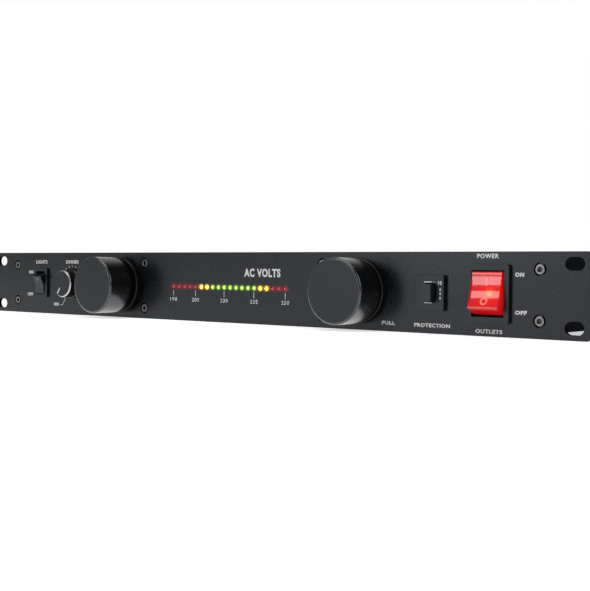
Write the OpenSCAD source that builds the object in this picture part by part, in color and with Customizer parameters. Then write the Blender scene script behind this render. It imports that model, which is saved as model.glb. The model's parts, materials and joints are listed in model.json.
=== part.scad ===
// Mains voltmeter with outlets and pull-out lamps, one rack unit high.
// The origin is the centre of the front panel's rear face, which bears on the rack rails.
// +X is to the right seen from the front, +Y to the rear and +Z up.

/* [Front panel] */
// Width across the rack ears
panel_w = 482.6; // [480:0.1:484]
// Height, one rack unit less its gap
panel_h = 44; // [43.4:0.1:44.4]
// Thickness
panel_t = 2.5; // [2:0.1:3]
// Corner radius
panel_r = 2.5; // [1:0.5:4]
// Rack slots, centre to centre across
slot_dx = 465.1; // [465:0.1:466]
// Rack slots, centre to centre up
slot_dz = 31.75; // [31.7:0.05:31.8]
// Length of a rack slot
slot_w = 10.4; // [9:0.1:12]
// Width of a rack slot
slot_h = 6.8; // [6.5:0.1:7.1]
// Outer panel screws, out from the centre
outer_screw_x = 213.8; // [212:0.1:215]
// Outer panel screws, up from the centre
outer_screw_z = 13; // [10:0.1:14]
// Inner panel screws, out from the centre
inner_screw_x = 75.4; // [74:0.1:76]
// Inner panel screws, up from the centre
inner_screw_z = 14.9; // [12:0.1:15]

/* [Chassis] */
// Width over the cover's lips
case_w = 438; // [434:1:440]
// Underside of the case, below the middle of the panel
case_low = 19.4; // [19.2:0.1:20]
// Top of the cover, above the middle of the panel
case_high = 19.8; // [19.2:0.1:20]
// Depth behind the panel
case_d = 200; // [200:1:240]
// Thickness of the steel sheet
sheet_t = 1.2; // [1:0.1:1.2]

/* [Pull-out lamps] */
// Lamp axes, out from the centre
lamp_x = 100.3; // [99:0.1:101]
// Diameter of a lamp knob
knob_d = 37.4; // [34:0.1:38]
// Length of a lamp knob
knob_len = 17.9; // [16:0.1:24]
// Diameter of a trim ring
ring_d = 37; // [34:0.1:38]
// How far a trim ring stands out of the panel
ring_h = 1.3; // [0.8:0.1:2]
// Diameter of a lamp tube
tube_d = 28; // [26:0.1:28]
// How far the left lamp is pulled out
left_out = 5.1; // [0.2:0.1:60]
// How far the right lamp is pulled out
right_out = 2.6; // [0.2:0.1:60]
// Travel of a lamp from fully in to fully out
lamp_travel = 105; // [80:1:105]

/* [Voltmeter row] */
// Distance between LEDs
led_pitch = 5; // [4.4:0.1:5]
// Diameter of an LED
led_d = 3; // [2.6:0.1:3]
// How far the domes stand out of the panel
led_proud = 0.6; // [0.2:0.1:1]

/* [Lights switch] */
// Centre, out from the middle of the panel
lights_x = -185; // [-187:0.5:-184]
// Width of the frame
lights_frame_w = 15; // [15:0.1:16]
// Height of the frame
lights_frame_h = 21; // [21:0.1:22]
// How far the frame stands out of the panel
lights_frame_t = 1.6; // [1.4:0.1:2.4]

/* [Dimmer] */
// Centre, out from the middle of the panel
dimmer_x = -150.5; // [-153:0.5:-149]
// Diameter of the knob's skirt
dimmer_skirt_d = 21; // [19.8:0.1:22]
// Diameter of the knob's front ring
dimmer_front_d = 19; // [18:0.1:19.5]
// How far the knob stands out of the panel
dimmer_h = 9.6; // [8:0.1:12]

/* [Breaker] */
// Centre, out from the middle of the panel
breaker_x = 151; // [149:0.5:153]
// Width of the frame
breaker_frame_w = 17.6; // [17:0.1:19]
// Height of the frame
breaker_frame_h = 19.1; // [18:0.1:20]
// How far the frame stands out of the panel
breaker_frame_t = 2.4; // [2:0.1:3]
// Width of the button
button_w = 5.3; // [5:0.1:5.4]
// Height of the button
button_h = 9.2; // [8.5:0.1:9.4]
// How far the button stands out of the panel
button_proud = 6.6; // [6.5:0.1:8]

/* [Power switch] */
// Centre, out from the middle of the panel
power_x = 185.3; // [184:0.1:187]
// Width of the frame
power_frame_w = 24.5; // [24:0.1:25]
// Height of the frame
power_frame_h = 30.4; // [29:0.1:31]
// How far the frame stands out of the panel
power_frame_t = 2.1; // [1.8:0.1:2.4]

/* [Rear] */
// Distance between outlets
outlet_pitch = 46; // [44:0.5:46]
// First outlet, out from the middle
outlet_x = 138; // [134:1:140]
// Mains inlet, out from the middle
inlet_x = 188; // [187:0.5:189]

/* [Hidden] */
led_count = 20;
outlet_count = 8;
side_names = ["left", "right"];
lamp_nodes = ["trim_ring", "guide_sleeve", "lamp_bracket", "slide_collar",
              "lamp_tube", "lamp_knob", "lamp_lens", "lamp_strip", "lamp_plug"];
$fn = 64;

// Small gaps: touching pieces, running fits, and pieces that pass each other
touch_gap = 0.02;
run_gap = 0.05;
pass_gap = 0.3;
// Room added to a cut so that it runs past a face
past = 1;

panel_front = -panel_t;
case_floor = -case_low + sheet_t;
case_roof = case_high - sheet_t;
tray_w = case_w - 2 * sheet_t;

// Panel screws: cap screws sunk in round seats
screw_r = 1.5;
screw_head_r = 2.6;
screw_seat_r = 3.5;
screw_seat_depth = 1.6;
screw_head_proud = 0.2;
screw_len = 6;
hex_r = 1.44;
hex_depth = 1.3;

// Cover screws
cover_screw_ends = [50, case_d - 25];
cover_screw_y = [cover_screw_ends[0], (cover_screw_ends[0] + cover_screw_ends[1]) / 2, cover_screw_ends[1]];
cover_screw_z = case_roof - 5.5;
cover_lip_h = 11;
cover_head_r = 2.8;
cover_head_t = 1.3;

// Front flanges of the tray, which the outer panel screws go into
flange_w = 14;

// Lamps: places along Y are for a lamp pushed fully in
tube_r = tube_d / 2;
tube_wall = 1.2;
tube_inner_r = tube_r - tube_wall;
ring_edge = 0.4;
ring_lead_in = 0.3;
knob_rear = panel_front - ring_h;
knob_front = knob_rear - knob_len;
knob_bore_depth = 12;
knob_edge = 1.2;
knob_edge_soft = 0.36;
knob_hollow_r = knob_d / 2 - 2.2;
knob_hub_r = tube_r + 1.5;
knob_hollow_depth = 13;
barrel_r = tube_r + 1.5;
barrel_end = 3;
bracket_t = 1.5;
bead_r = tube_r + 1.2;
bead_w = 2;
bead_y = barrel_end + 0.1 + lamp_travel;
collar_y = bead_y + bead_w + 0.1;
collar_len = 16;
collar_r = tube_r + 2;
key_w = 3.4;
key_top = collar_r + 1.3;
tube_end = collar_y + collar_len + 0.1;
plug_flange_t = 2;
plug_len = 9;
plug_wire_r = 3;
sleeve_r = collar_r + 1.5;
sleeve_bore_r = collar_r + run_gap;
sleeve_end = tube_end + plug_flange_t + 4;
sleeve_slot_from = bracket_t + 1.5;
sleeve_slot_to = sleeve_end - 2.5;
window_y = 8;
window_len = 90;
window_angle = 100;
lens_gap = 0.1;
lens_gap_angle = 0.6;
strip_z = 2;
strip_t = 1;
strip_w = 2 * sqrt(pow(tube_inner_r, 2) - pow(strip_z + strip_t, 2)) - 0.1;
strip_led_count = 9;
strip_led = [5, 5, 1.4];
bracket_in = 32;
bracket_out = 22;
saddle_y = 112;
saddle_top = 4;

// Meter: round LEDs in a row, soldered to a board on four spacers
led_r = led_d / 2;
led_flange_r = led_r + 0.4;
led_flange_y = 0.1;
led_flange_t = 1;
meter_y = 8;
board_t = 1.6;
meter_w = 112;
meter_h = 34;
spacer_x = 51;
spacer_z = 12;
spacer_r = 2.5;
red_list = [0, 1, 2, 3, 4, 17, 18, 19];
yellow_list = [5, 6, 15, 16];
green_list = [7, 8, 9, 10, 11, 12, 13, 14];
chip_size = [23, 3.4, 6.4];
chip_x = 18;
chip_z = -7;
spacer_stub = 3;
led_pin_pitch = 2.54;
led_pin = 0.5;

// Rocker switches. A rocker is drawn about its pivot, which lies behind the panel's front by pivot_in.
// Settings: [frame w, frame h, frame t, opening w, opening h, body w, body h, body depth,
//            rocker w, pivot_in, face depth, face rise, face half length, end radius, tilt]
lights_set = [lights_frame_w, lights_frame_h, lights_frame_t, 10, 16.7, 13, 19.2, 15,
              9.2, 2.3, 5, 1.16, 6.6, 7.9, 15];
power_set = [power_frame_w, power_frame_h, power_frame_t, 18.9, 24.1, 22, 27.6, 24,
             17.3, 2.2, 6.4, 1.25, 9.9, 11.1, 14.5];
rocker_base = 3;
rocker_lip = 0.1;
corner_step = 0.25;
rocker_arc_from = 18;
rocker_arc_to = -15;
rocker_wall = 1.3;
rocker_rib = 2.4;
stem_reach = 7.5;
rocker_pin_r = 1.2;
rocker_pin_gap = 0.2;
rocker_pin_root = 0.1;
switch_cavity = 12;
switch_z = 0.2;
frame_r = 1.5;
neon_r = 1.9;
neon_x = 1.6;

// Dimmer
dimmer_shaft_r = 3;
dimmer_bush_r = 3.6;
dimmer_bush_front = 3;
dimmer_pot_r = 8.5;
dimmer_pot_len = 9;
dimmer_gap = 0.5;
dimmer_flutes = 30;
dimmer_flute_r = 0.55;
dimmer_flute_out = 0.2;
dimmer_nut_r = 5.8;
dimmer_nut_t = 2;
dimmer_pointer_turn = -145;
dimmer_face_t = 1.5;
dimmer_edge = 0.75;
dimmer_flute_start = 1.2;
dimmer_flute_end = 1.6;
dimmer_skirt_t = 1.2;
dimmer_nut_gap = 0.6;
pointer_w = 1.1;
pointer_depth = 0.3;
pointer_from = 0.39;
pointer_to = 0.89;
pot_lug = [12, board_t, 10];
pot_lug_top = -6;
pot_shaft_end = 4;

// Breaker
breaker_body = 15;
breaker_frame_shift = -0.6;
breaker_depth = 26;
button_gap = 0.35;
button_flange = 1.4;
button_flange_t = 2;
button_flange_gap = 0.2;
button_r = 0.8;
button_frame_r = 1;
button_end = 9;
breaker_cavity = 14;
button_pop = 3;

// Push-on tabs behind the switches and the breaker
spade_w = 6.3;
spade_len = 9;
spade_t = 0.8;

// Inlet and outlets at the rear, with the shapes of 10 A appliance couplers
rear_flange_t = 2.2;
outlet_flange = [34, 27];
outlet_body = [29.8, 23];
outlet_moat = [28, 21];
outlet_core = [23.8, 16.2];
outlet_depth = 22;
moat_depth = 17;
contact_slot = [2.4, 4.6];
contact_slot_depth = 15;
contact_dx = 7;
contact_dz = 2;
inlet_flange = [50, 22.5];
inlet_recess = [24.6, 16.9];
inlet_body = [28, 20.4];
inlet_screw_dx = 40;
coupler_chamfer = 5;
pin_size = [2, 4];
pin_tip = 1.8;
inlet_tab = 8;

// Rails and leads
rail_t = 1;
rail_h = 4;
rail_tab = 0.8;
rail_y = case_d - outlet_depth - 5;
rail_z = 10;
earth_rail_y = rail_y - 3;
lead_r = 1.4;
lead_sides = 8;
lead_z = case_floor + lead_r + 0.2;
pin_back = case_d - outlet_depth - inlet_tab - touch_gap;
power_tab_y = power_set[7] + spade_len + touch_gap;
breaker_tab_y = breaker_depth + spade_len + touch_gap;
stud_x = 197;
stud_y = 140;
stud_r = 3;
stud_h = 6;
rail_past = 12;
rail_lead_x = [150, 154];
tab_x = 5;
tab_z = [5, 8];

// Supply board
supply_size = [110, 70];
supply_y = 82;
supply_standoff = 5;
supply_edge = 5;
supply_z = case_floor + supply_standoff;
core_size = [38, 32, 24];
core_x = -15;
core_leg = 6;
core_window = (core_size[0] - 3 * core_leg) / 2;
coil_gap = 0.4;
coil_past = 10;

function side_of(i) = i == 0 ? -1 : 1;
function out_of(i) = i == 0 ? left_out : right_out;
function led_x(i) = (i - (led_count - 1) / 2) * led_pitch;
function outlet_pos(i) = outlet_x - (i - 1) * outlet_pitch;

// A flat shape drawn in X and Z, made solid from y0 to y1
module along_y(y0, y1) {
    translate([0, y1, 0])
        rotate([90, 0, 0])
            linear_extrude(y1 - y0)
                children();
}

// A shape drawn as radius and Y, turned about the Y axis
module turned(turn = 360) {
    rotate([-90, 0, 0])
        rotate_extrude(angle = turn)
            children();
}

module round_rect(w, h, r) {
    square([w - 2 * r, h], center = true);
    square([w, h - 2 * r], center = true);
    for (x = [-1, 1], z = [-1, 1])
        translate([x * (w / 2 - r), z * (h / 2 - r)])
            circle(r);
}

module obround(w, h) {
    square([w - h, h], center = true);
    for (x = [-1, 1])
        translate([x * (w - h) / 2, 0])
            circle(h / 2);
}

// The six-sided outline of an appliance coupler, with its two upper corners cut
module coupler_shape(size) {
    w = size[0] / 2;
    h = size[1] / 2;
    polygon([[-w, -h], [w, -h], [w, h - coupler_chamfer], [w - coupler_chamfer, h],
             [-w + coupler_chamfer, h], [-w, h - coupler_chamfer]]);
}

// A lead's route with its corners cut, so that its bends are round
function cut_corners(p) = concat(
    [p[0]],
    [for (i = [0 : len(p) - 2]) each [0.75 * p[i] + 0.25 * p[i + 1], 0.25 * p[i] + 0.75 * p[i + 1]]],
    [p[len(p) - 1]]);

function unit(v) = v / norm(v);

function heading(p, i) = unit(p[min(i + 1, len(p) - 1)] - p[max(i - 1, 0)]);

// A ring of points round p, square to the heading t
function lead_ring(p, t) = let (s = unit(cross(t, [0.2, 0.1, 1])), u = cross(s, t))
    [for (k = [0 : lead_sides - 1])
        p + lead_r * (cos(k * 360 / lead_sides) * s + sin(k * 360 / lead_sides) * u)];

// A round lead swept along a route of hand-chosen points
module lead(points) {
    route = cut_corners(cut_corners(points));
    last = len(route) - 1;
    sides = lead_sides;
    polyhedron(
        [for (i = [0 : last]) each lead_ring(route[i], heading(route, i))],
        concat(
            [[for (k = [sides - 1 : -1 : 0]) k], [for (k = [0 : sides - 1]) last * sides + k]],
            [for (i = [0 : last - 1], k = [0 : sides - 1]) each
                let (a = i * sides + k, b = i * sides + (k + 1) % sides)
                    [[a, b, b + sides], [a, b + sides, a + sides]]]));
}

module screw_places() {
    for (x = [-1, 1], z = [-1, 1]) {
        translate([x * outer_screw_x, 0, z * outer_screw_z])
            children();
        translate([x * inner_screw_x, 0, z * inner_screw_z])
            children();
    }
}

module front_panel() {
    color("#1c1d1f")
        difference() {
            along_y(panel_front, 0)
                round_rect(panel_w, panel_h, panel_r);
            for (x = [-1, 1], z = [-1, 1])
                translate([x * slot_dx / 2, 0, z * slot_dz / 2])
                    along_y(panel_front - past, past)
                        obround(slot_w, slot_h);
            screw_places() {
                along_y(panel_front - past, past)
                    circle(screw_r + touch_gap);
                along_y(panel_front - past, panel_front + screw_seat_depth)
                    circle(screw_seat_r);
            }
            for (i = [0 : led_count - 1])
                translate([led_x(i), 0, 0])
                    along_y(panel_front - past, past)
                        circle(led_r + run_gap);
            for (x = [-1, 1])
                translate([x * lamp_x, 0, 0])
                    along_y(panel_front - past, past)
                        circle(barrel_r + touch_gap);
            translate([lights_x, 0, switch_z])
                along_y(panel_front - past, past)
                    square([lights_set[5], lights_set[6]], center = true);
            translate([power_x, 0, switch_z])
                along_y(panel_front - past, past)
                    square([power_set[5], power_set[6]], center = true);
            translate([breaker_x, 0, 0])
                along_y(panel_front - past, past)
                    square(breaker_body, center = true);
            translate([dimmer_x, 0, 0])
                along_y(panel_front - past, past)
                    circle(dimmer_bush_r + touch_gap);
        }
}

module panel_screws() {
    color("#a9a8a2")
        screw_places()
            difference() {
                union() {
                    along_y(panel_front - screw_head_proud, panel_front + screw_seat_depth)
                        circle(screw_head_r);
                    along_y(panel_front + screw_seat_depth, screw_len)
                        circle(screw_r);
                }
                along_y(panel_front - past, panel_front - screw_head_proud + hex_depth)
                    circle(hex_r, $fn = 6);
            }
}

module chassis_tray() {
    color("#26272a")
        difference() {
            union() {
                translate([-tray_w / 2, 0, -case_low])
                    cube([tray_w, case_d, sheet_t]);
                for (x = [0, 1])
                    mirror([x, 0, 0]) {
                        translate([tray_w / 2 - sheet_t, 0, -case_low])
                            cube([sheet_t, case_d, case_roof + case_low]);
                        translate([tray_w / 2 - flange_w, 0, -case_low])
                            cube([flange_w, sheet_t, case_roof + case_low]);
                    }
            }
            for (x = [-1, 1], z = [-1, 1])
                translate([x * outer_screw_x, 0, z * outer_screw_z])
                    along_y(-past, sheet_t + past)
                        circle(screw_r + touch_gap);
            for (y = cover_screw_y)
                translate([0, y, cover_screw_z])
                    rotate([0, 90, 0])
                        cylinder(r = screw_r + touch_gap, h = case_w + past, center = true);
        }
}

// Stands between the tray's sides, welded to them and to the floor
module rear_panel() {
    w = tray_w - 2 * (sheet_t + touch_gap);
    color("#26272a")
        difference() {
            translate([-w / 2, case_d - sheet_t, case_floor + touch_gap])
                cube([w, sheet_t, case_roof - case_floor - touch_gap]);
            for (i = [1 : outlet_count])
                translate([outlet_pos(i), 0, 0])
                    along_y(case_d - sheet_t - past, case_d + past)
                        square(outlet_body, center = true);
            translate([inlet_x, 0, 0])
                along_y(case_d - sheet_t - past, case_d + past) {
                    square(inlet_body, center = true);
                    for (x = [-1, 1])
                        translate([x * inlet_screw_dx / 2, 0])
                            circle(screw_r + touch_gap);
                }
        }
}

module top_cover() {
    color("#232427")
        difference() {
            union() {
                translate([-case_w / 2, 0, case_roof])
                    cube([case_w, case_d, sheet_t]);
                for (x = [0, 1])
                    mirror([x, 0, 0])
                        translate([tray_w / 2, 0, case_roof - cover_lip_h])
                            cube([sheet_t, case_d, cover_lip_h + sheet_t]);
            }
            for (y = cover_screw_y)
                translate([0, y, cover_screw_z])
                    rotate([0, 90, 0])
                        cylinder(r = screw_r + touch_gap, h = case_w + past, center = true);
        }
}

module cover_screws() {
    color("#2c2d30")
        for (x = [0, 1], y = cover_screw_y)
            mirror([x, 0, 0])
                translate([case_w / 2, y, cover_screw_z])
                    rotate([0, 90, 0])
                        difference() {
                            union() {
                                cylinder(r = cover_head_r, h = cover_head_t);
                                translate([0, 0, -screw_len])
                                    cylinder(r = screw_r, h = screw_len);
                            }
                            translate([0, 0, cover_head_t / 2])
                                cylinder(r = hex_r, h = cover_head_t, $fn = 6);
                        }
}

module trim_ring() {
    color("#1f2022")
        turned()
            polygon([[tube_r + run_gap, knob_rear + ring_lead_in], [tube_r + run_gap, barrel_end],
                     [barrel_r, barrel_end], [barrel_r, panel_front], [ring_d / 2, panel_front],
                     [ring_d / 2, knob_rear + ring_edge], [ring_d / 2 - ring_edge, knob_rear],
                     [tube_r + run_gap + ring_lead_in, knob_rear]]);
}

module guide_sleeve() {
    color("#d8d8d2")
        difference() {
            along_y(bracket_t, sleeve_end)
                circle(sleeve_r);
            along_y(bracket_t - past, sleeve_end + past)
                circle(sleeve_bore_r);
            translate([-key_w / 2 - pass_gap, sleeve_slot_from, 0])
                cube([key_w + 2 * pass_gap, sleeve_slot_to - sleeve_slot_from, sleeve_r + past]);
        }
}

// The right bracket; the left one is its mirror image
module lamp_bracket() {
    strip_h = -sleeve_r - touch_gap - case_floor;
    color("#b4b6b8")
        difference() {
            union() {
                translate([-bracket_in, 0, case_floor])
                    cube([bracket_in + bracket_out, bracket_t, case_roof - case_floor - pass_gap]);
                translate([-bracket_out, 0, case_floor])
                    cube([2 * bracket_out, saddle_y, strip_h]);
                translate([-bracket_out, saddle_y, case_floor])
                    cube([2 * bracket_out, bracket_t, saddle_top - case_floor]);
            }
            along_y(-past, bracket_t + past)
                circle(barrel_r + touch_gap);
            along_y(saddle_y - past, saddle_y + bracket_t + past)
                circle(sleeve_r + touch_gap);
            for (z = [-1, 1])
                translate([inner_screw_x - lamp_x, 0, z * inner_screw_z])
                    along_y(-past, bracket_t + past)
                        circle(screw_r + touch_gap);
        }
}

module slide_collar() {
    color("#ecece6")
        difference() {
            union() {
                along_y(collar_y, collar_y + collar_len)
                    circle(collar_r);
                translate([-key_w / 2, collar_y, 0])
                    cube([key_w, collar_len, key_top]);
            }
            along_y(collar_y - past, collar_y + collar_len + past)
                circle(tube_r + run_gap);
        }
}

// The sector that the window takes out of the tube's underside
module window_sector(r_in, r_out, y0, y1, angle) {
    rotate([0, 90 - angle / 2, 0])
        turned(angle)
            polygon([[r_in, y0], [r_out, y0], [r_out, y1], [r_in, y1]]);
}

module lamp_tube() {
    color("#202124")
        difference() {
            turned()
                polygon([[tube_inner_r, knob_rear - knob_bore_depth], [tube_r, knob_rear - knob_bore_depth],
                         [tube_r, bead_y], [bead_r, bead_y], [bead_r, bead_y + bead_w],
                         [tube_r, bead_y + bead_w], [tube_r, tube_end], [tube_inner_r, tube_end]]);
            window_sector(tube_inner_r - past, tube_r + past, window_y, window_y + window_len, window_angle);
        }
}

module lamp_knob() {
    r = knob_d / 2;
    color("#232427")
        turned()
            polygon([[0, knob_front], [r - knob_edge, knob_front],
                     [r - knob_edge_soft, knob_front + knob_edge_soft],
                     [r, knob_front + knob_edge], [r, knob_rear], [knob_hollow_r, knob_rear],
                     [knob_hollow_r, knob_rear - knob_hollow_depth],
                     [knob_hub_r, knob_rear - knob_hollow_depth],
                     [knob_hub_r, knob_rear], [tube_r + touch_gap, knob_rear],
                     [tube_r + touch_gap, knob_rear - knob_bore_depth], [0, knob_rear - knob_bore_depth]]);
}

module lamp_lens() {
    color("#f4f1e4")
        window_sector(tube_inner_r, tube_r, window_y + lens_gap, window_y + window_len - lens_gap,
                      window_angle - lens_gap_angle);
}

module lamp_strip() {
    strip_y = knob_rear - knob_bore_depth + 1;
    strip_len = tube_end - plug_len / 2 - strip_y;
    color("#e9ecec") {
        translate([-strip_w / 2, strip_y, strip_z])
            cube([strip_w, strip_len, strip_t]);
        for (i = [0 : strip_led_count - 1])
            translate([0, window_y + (i + 0.5) * window_len / strip_led_count, strip_z - strip_led[2] / 2])
                cube(strip_led, center = true);
    }
}

module lamp_plug() {
    color("#1a1b1d")
        difference() {
            turned()
                polygon([[plug_wire_r, tube_end - plug_len], [tube_inner_r - touch_gap, tube_end - plug_len],
                         [tube_inner_r - touch_gap, tube_end + touch_gap], [bead_r, tube_end + touch_gap],
                         [bead_r, tube_end + plug_flange_t], [plug_wire_r, tube_end + plug_flange_t]]);
            translate([-tube_r, tube_end - plug_len - past, strip_z - 0.05])
                cube([2 * tube_r, plug_len / 2 + past + 0.1, strip_t + 0.1]);
        }
}

// A rounded corner at b between a and c, which starts and ends at a distance of reach from b
function soft_corner(a, b, c, reach) = [
    for (q = [0 : corner_step : 1])
        b + reach * ((1 - q) * (1 - q) * (a - b) / norm(a - b) + q * q * (c - b) / norm(c - b))];

// One end of a rocker's side outline, from the middle of its face round its lip to its base
function rocker_half(depth, rise, half, end_r, base, s) = concat(
    soft_corner([-depth, 0], [-depth - rise, s * half],
                end_r * [-sin(rocker_arc_from), s * cos(rocker_arc_from)], rocker_lip * half),
    [for (a = [rocker_arc_from : -3 : rocker_arc_to]) [-end_r * sin(a), s * end_r * cos(a)]],
    [[base, s * end_r * cos(rocker_arc_to)]]);

function reversed(list) = [for (i = [len(list) - 1 : -1 : 0]) list[i]];

function rocker_outline(depth, rise, half, end_r, base) = concat(
    [[-depth, 0]],
    rocker_half(depth, rise, half, end_r, base, 1),
    reversed(rocker_half(depth, rise, half, end_r, base, -1)));

// A shape drawn in Y and Z, made solid along X and centred
module across_x(w) {
    rotate([90, 0, 90])
        linear_extrude(w, center = true)
            children();
}

module rocker(set, tilt) {
    w = set[8];
    depth = set[10];
    rise = set[11];
    half = set[12];
    end_r = set[13];
    rotate([tilt, 0, 0]) {
        difference() {
            across_x(w)
                polygon(rocker_outline(depth, rise, half, end_r, rocker_base));
            difference() {
                across_x(w - 2 * rocker_wall)
                    polygon(rocker_outline(depth - rocker_wall, rise, half - rocker_wall, end_r - rocker_wall,
                                           rocker_base + past));
                translate([0, rocker_base, 0])
                    cube([w, 2 * rocker_base + past, rocker_rib], center = true);
            }
        }
        translate([0, (rocker_base + stem_reach) / 2, 0])
            cube([w - 4 * rocker_wall, stem_reach - rocker_base, rocker_rib], center = true);
        for (x = [0, 1])
            mirror([x, 0, 0])
                translate([w / 2 - rocker_pin_root, 0, 0])
                    rotate([0, 90, 0])
                        cylinder(r = rocker_pin_r, h = (set[5] - w) / 2 - rocker_pin_gap + rocker_pin_root);
    }
}

module switch_frame(set) {
    pivot_y = panel_front + set[9];
    difference() {
        union() {
            along_y(panel_front - set[2], panel_front)
                round_rect(set[0], set[1], frame_r);
            along_y(panel_front, set[7])
                square([set[5] - 2 * touch_gap, set[6] - 2 * touch_gap], center = true);
        }
        along_y(panel_front - set[2] - past, switch_cavity)
            square([set[3], set[4]], center = true);
        translate([0, pivot_y, 0])
            rotate([0, 90, 0])
                cylinder(r = rocker_pin_r + run_gap, h = set[5] + 2 * touch_gap, center = true);
    }
}

module lights_switch_frame() {
    color("#17181a")
        translate([lights_x, 0, switch_z])
            switch_frame(lights_set);
}

module lights_rocker() {
    color("#232426")
        translate([lights_x, panel_front + lights_set[9], switch_z])
            rocker(lights_set, lights_set[14]);
}

module power_switch_frame() {
    color("#17181a")
        translate([power_x, 0, switch_z])
            switch_frame(power_set);
}

module power_rocker() {
    color([0.9, 0.12, 0.12, 0.85])
        translate([power_x, panel_front + power_set[9], switch_z])
            rocker(power_set, -power_set[14]);
}

module power_neon_lamp() {
    neon_front = -power_set[10] + rocker_wall + pass_gap;
    neon_back = -rocker_rib / 4;
    color("#f6b04a")
        translate([power_x, panel_front + power_set[9], switch_z])
            rotate([-power_set[14], 0, 0])
                translate([neon_x, 0, 0]) {
                    along_y(neon_front + neon_r, neon_back)
                        circle(neon_r);
                    translate([0, neon_front + neon_r, 0])
                        sphere(neon_r);
                }
}

module dimmer_knob() {
    skirt_r = dimmer_skirt_d / 2;
    front_r = dimmer_front_d / 2;
    front_y = panel_front - dimmer_h;
    back_y = panel_front - dimmer_gap;
    nut_hole_r = dimmer_nut_r + dimmer_nut_gap;
    nut_hole_y = back_y - dimmer_nut_t - dimmer_nut_gap;
    color("#1d1e20")
        translate([dimmer_x, 0, 0])
            difference() {
                turned()
                    polygon([[dimmer_shaft_r + touch_gap, front_y + dimmer_face_t],
                             [0, front_y + dimmer_face_t], [0, front_y],
                             [front_r - dimmer_edge, front_y], [front_r, front_y + dimmer_edge],
                             [front_r, back_y - dimmer_flute_end], [skirt_r, back_y - dimmer_skirt_t],
                             [skirt_r, back_y], [nut_hole_r, back_y], [nut_hole_r, nut_hole_y],
                             [dimmer_shaft_r + touch_gap, nut_hole_y]]);
                for (i = [0 : dimmer_flutes - 1])
                    rotate([0, i * 360 / dimmer_flutes, 0])
                        translate([0, 0, front_r + dimmer_flute_out])
                            along_y(front_y + dimmer_flute_start, back_y - dimmer_flute_end)
                                circle(dimmer_flute_r, $fn = 24);
                rotate([0, dimmer_pointer_turn, 0])
                    translate([-pointer_w / 2, front_y - past, front_r * pointer_from])
                        cube([pointer_w, past + pointer_depth, front_r * (pointer_to - pointer_from)]);
            }
}

module dimmer_shaft() {
    color("#b8babc")
        translate([dimmer_x, 0, 0])
            along_y(panel_front - dimmer_h + dimmer_face_t + touch_gap, pot_shaft_end)
                circle(dimmer_shaft_r);
}

module dimmer_pot() {
    color("#3a6a4a")
        translate([dimmer_x, 0, 0])
            difference() {
                union() {
                    along_y(panel_front - dimmer_bush_front, 0)
                        circle(dimmer_bush_r);
                    along_y(0, dimmer_pot_len)
                        circle(dimmer_pot_r);
                    translate([-pot_lug[0] / 2, 2, pot_lug_top - pot_lug[2]])
                        cube(pot_lug);
                }
                along_y(panel_front - dimmer_bush_front - past, pot_shaft_end + pass_gap)
                    circle(dimmer_shaft_r + run_gap);
            }
}

module dimmer_nut() {
    color("#c4c5c7")
        translate([dimmer_x, 0, 0])
            difference() {
                along_y(panel_front - dimmer_nut_t, panel_front)
                    circle(dimmer_nut_r, $fn = 6);
                along_y(panel_front - dimmer_nut_t - past, panel_front + past)
                    circle(dimmer_bush_r + touch_gap);
            }
}

module meter_board() {
    color("#2f6b3f")
        difference() {
            along_y(meter_y, meter_y + board_t)
                square([meter_w, meter_h], center = true);
            for (x = [-1, 1], z = [-1, 1])
                translate([x * spacer_x, 0, z * spacer_z])
                    along_y(meter_y - past, meter_y + board_t + past)
                        circle(screw_r + touch_gap);
        }
}

module meter_chips() {
    color("#222426")
        for (x = [-1, 1])
            translate([x * chip_x - chip_size[0] / 2, meter_y + board_t, chip_z - chip_size[2] / 2])
                cube(chip_size);
}

module led_group(list) {
    for (i = list)
        translate([led_x(i), 0, 0]) {
            turned()
                polygon(concat(
                    [for (a = [0 : 15 : 90]) [led_r * sin(a), panel_front - led_proud + led_r * (1 - cos(a))]],
                    [[led_r, led_flange_y], [led_flange_r, led_flange_y],
                     [led_flange_r, led_flange_y + led_flange_t], [0, led_flange_y + led_flange_t]]));
            for (x = [-1, 1])
                translate([(x * led_pin_pitch - led_pin) / 2, led_flange_y + led_flange_t, -led_pin / 2])
                    cube([led_pin, meter_y - led_flange_y - led_flange_t, led_pin]);
        }
}

module red_leds() {
    color("#b01c1c")
        led_group(red_list);
}

module yellow_leds() {
    color("#e8c22a")
        led_group(yellow_list);
}

module green_leds() {
    color("#35b04a")
        led_group(green_list);
}

module breaker_frame() {
    opening = [button_w + 2 * button_gap, button_h + 2 * button_gap];
    cavity = opening + 2 * (button_flange + button_flange_gap) * [1, 1];
    color("#191a1c")
        translate([breaker_x, 0, 0])
            difference() {
                union() {
                    translate([breaker_frame_shift, 0, 0])
                        along_y(panel_front - breaker_frame_t, panel_front)
                            round_rect(breaker_frame_w, breaker_frame_h, button_frame_r);
                    along_y(panel_front, breaker_depth)
                        square(breaker_body - 2 * touch_gap, center = true);
                }
                along_y(panel_front - breaker_frame_t - past, 0)
                    square(opening, center = true);
                along_y(-touch_gap, breaker_cavity)
                    square(cavity, center = true);
            }
}

module breaker_button() {
    flange_y = button_pop + button_flange_gap;
    color("#202123")
        translate([breaker_x, 0, 0]) {
            along_y(panel_front - button_proud, button_end)
                round_rect(button_w, button_h, button_r);
            along_y(flange_y, flange_y + button_flange_t)
                square([button_w + 2 * button_flange, button_h + 2 * button_flange], center = true);
        }
}

module spade(x, y, z) {
    translate([x - spade_w / 2, y, z - spade_t / 2])
        cube([spade_w, spade_len, spade_t]);
}

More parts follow.
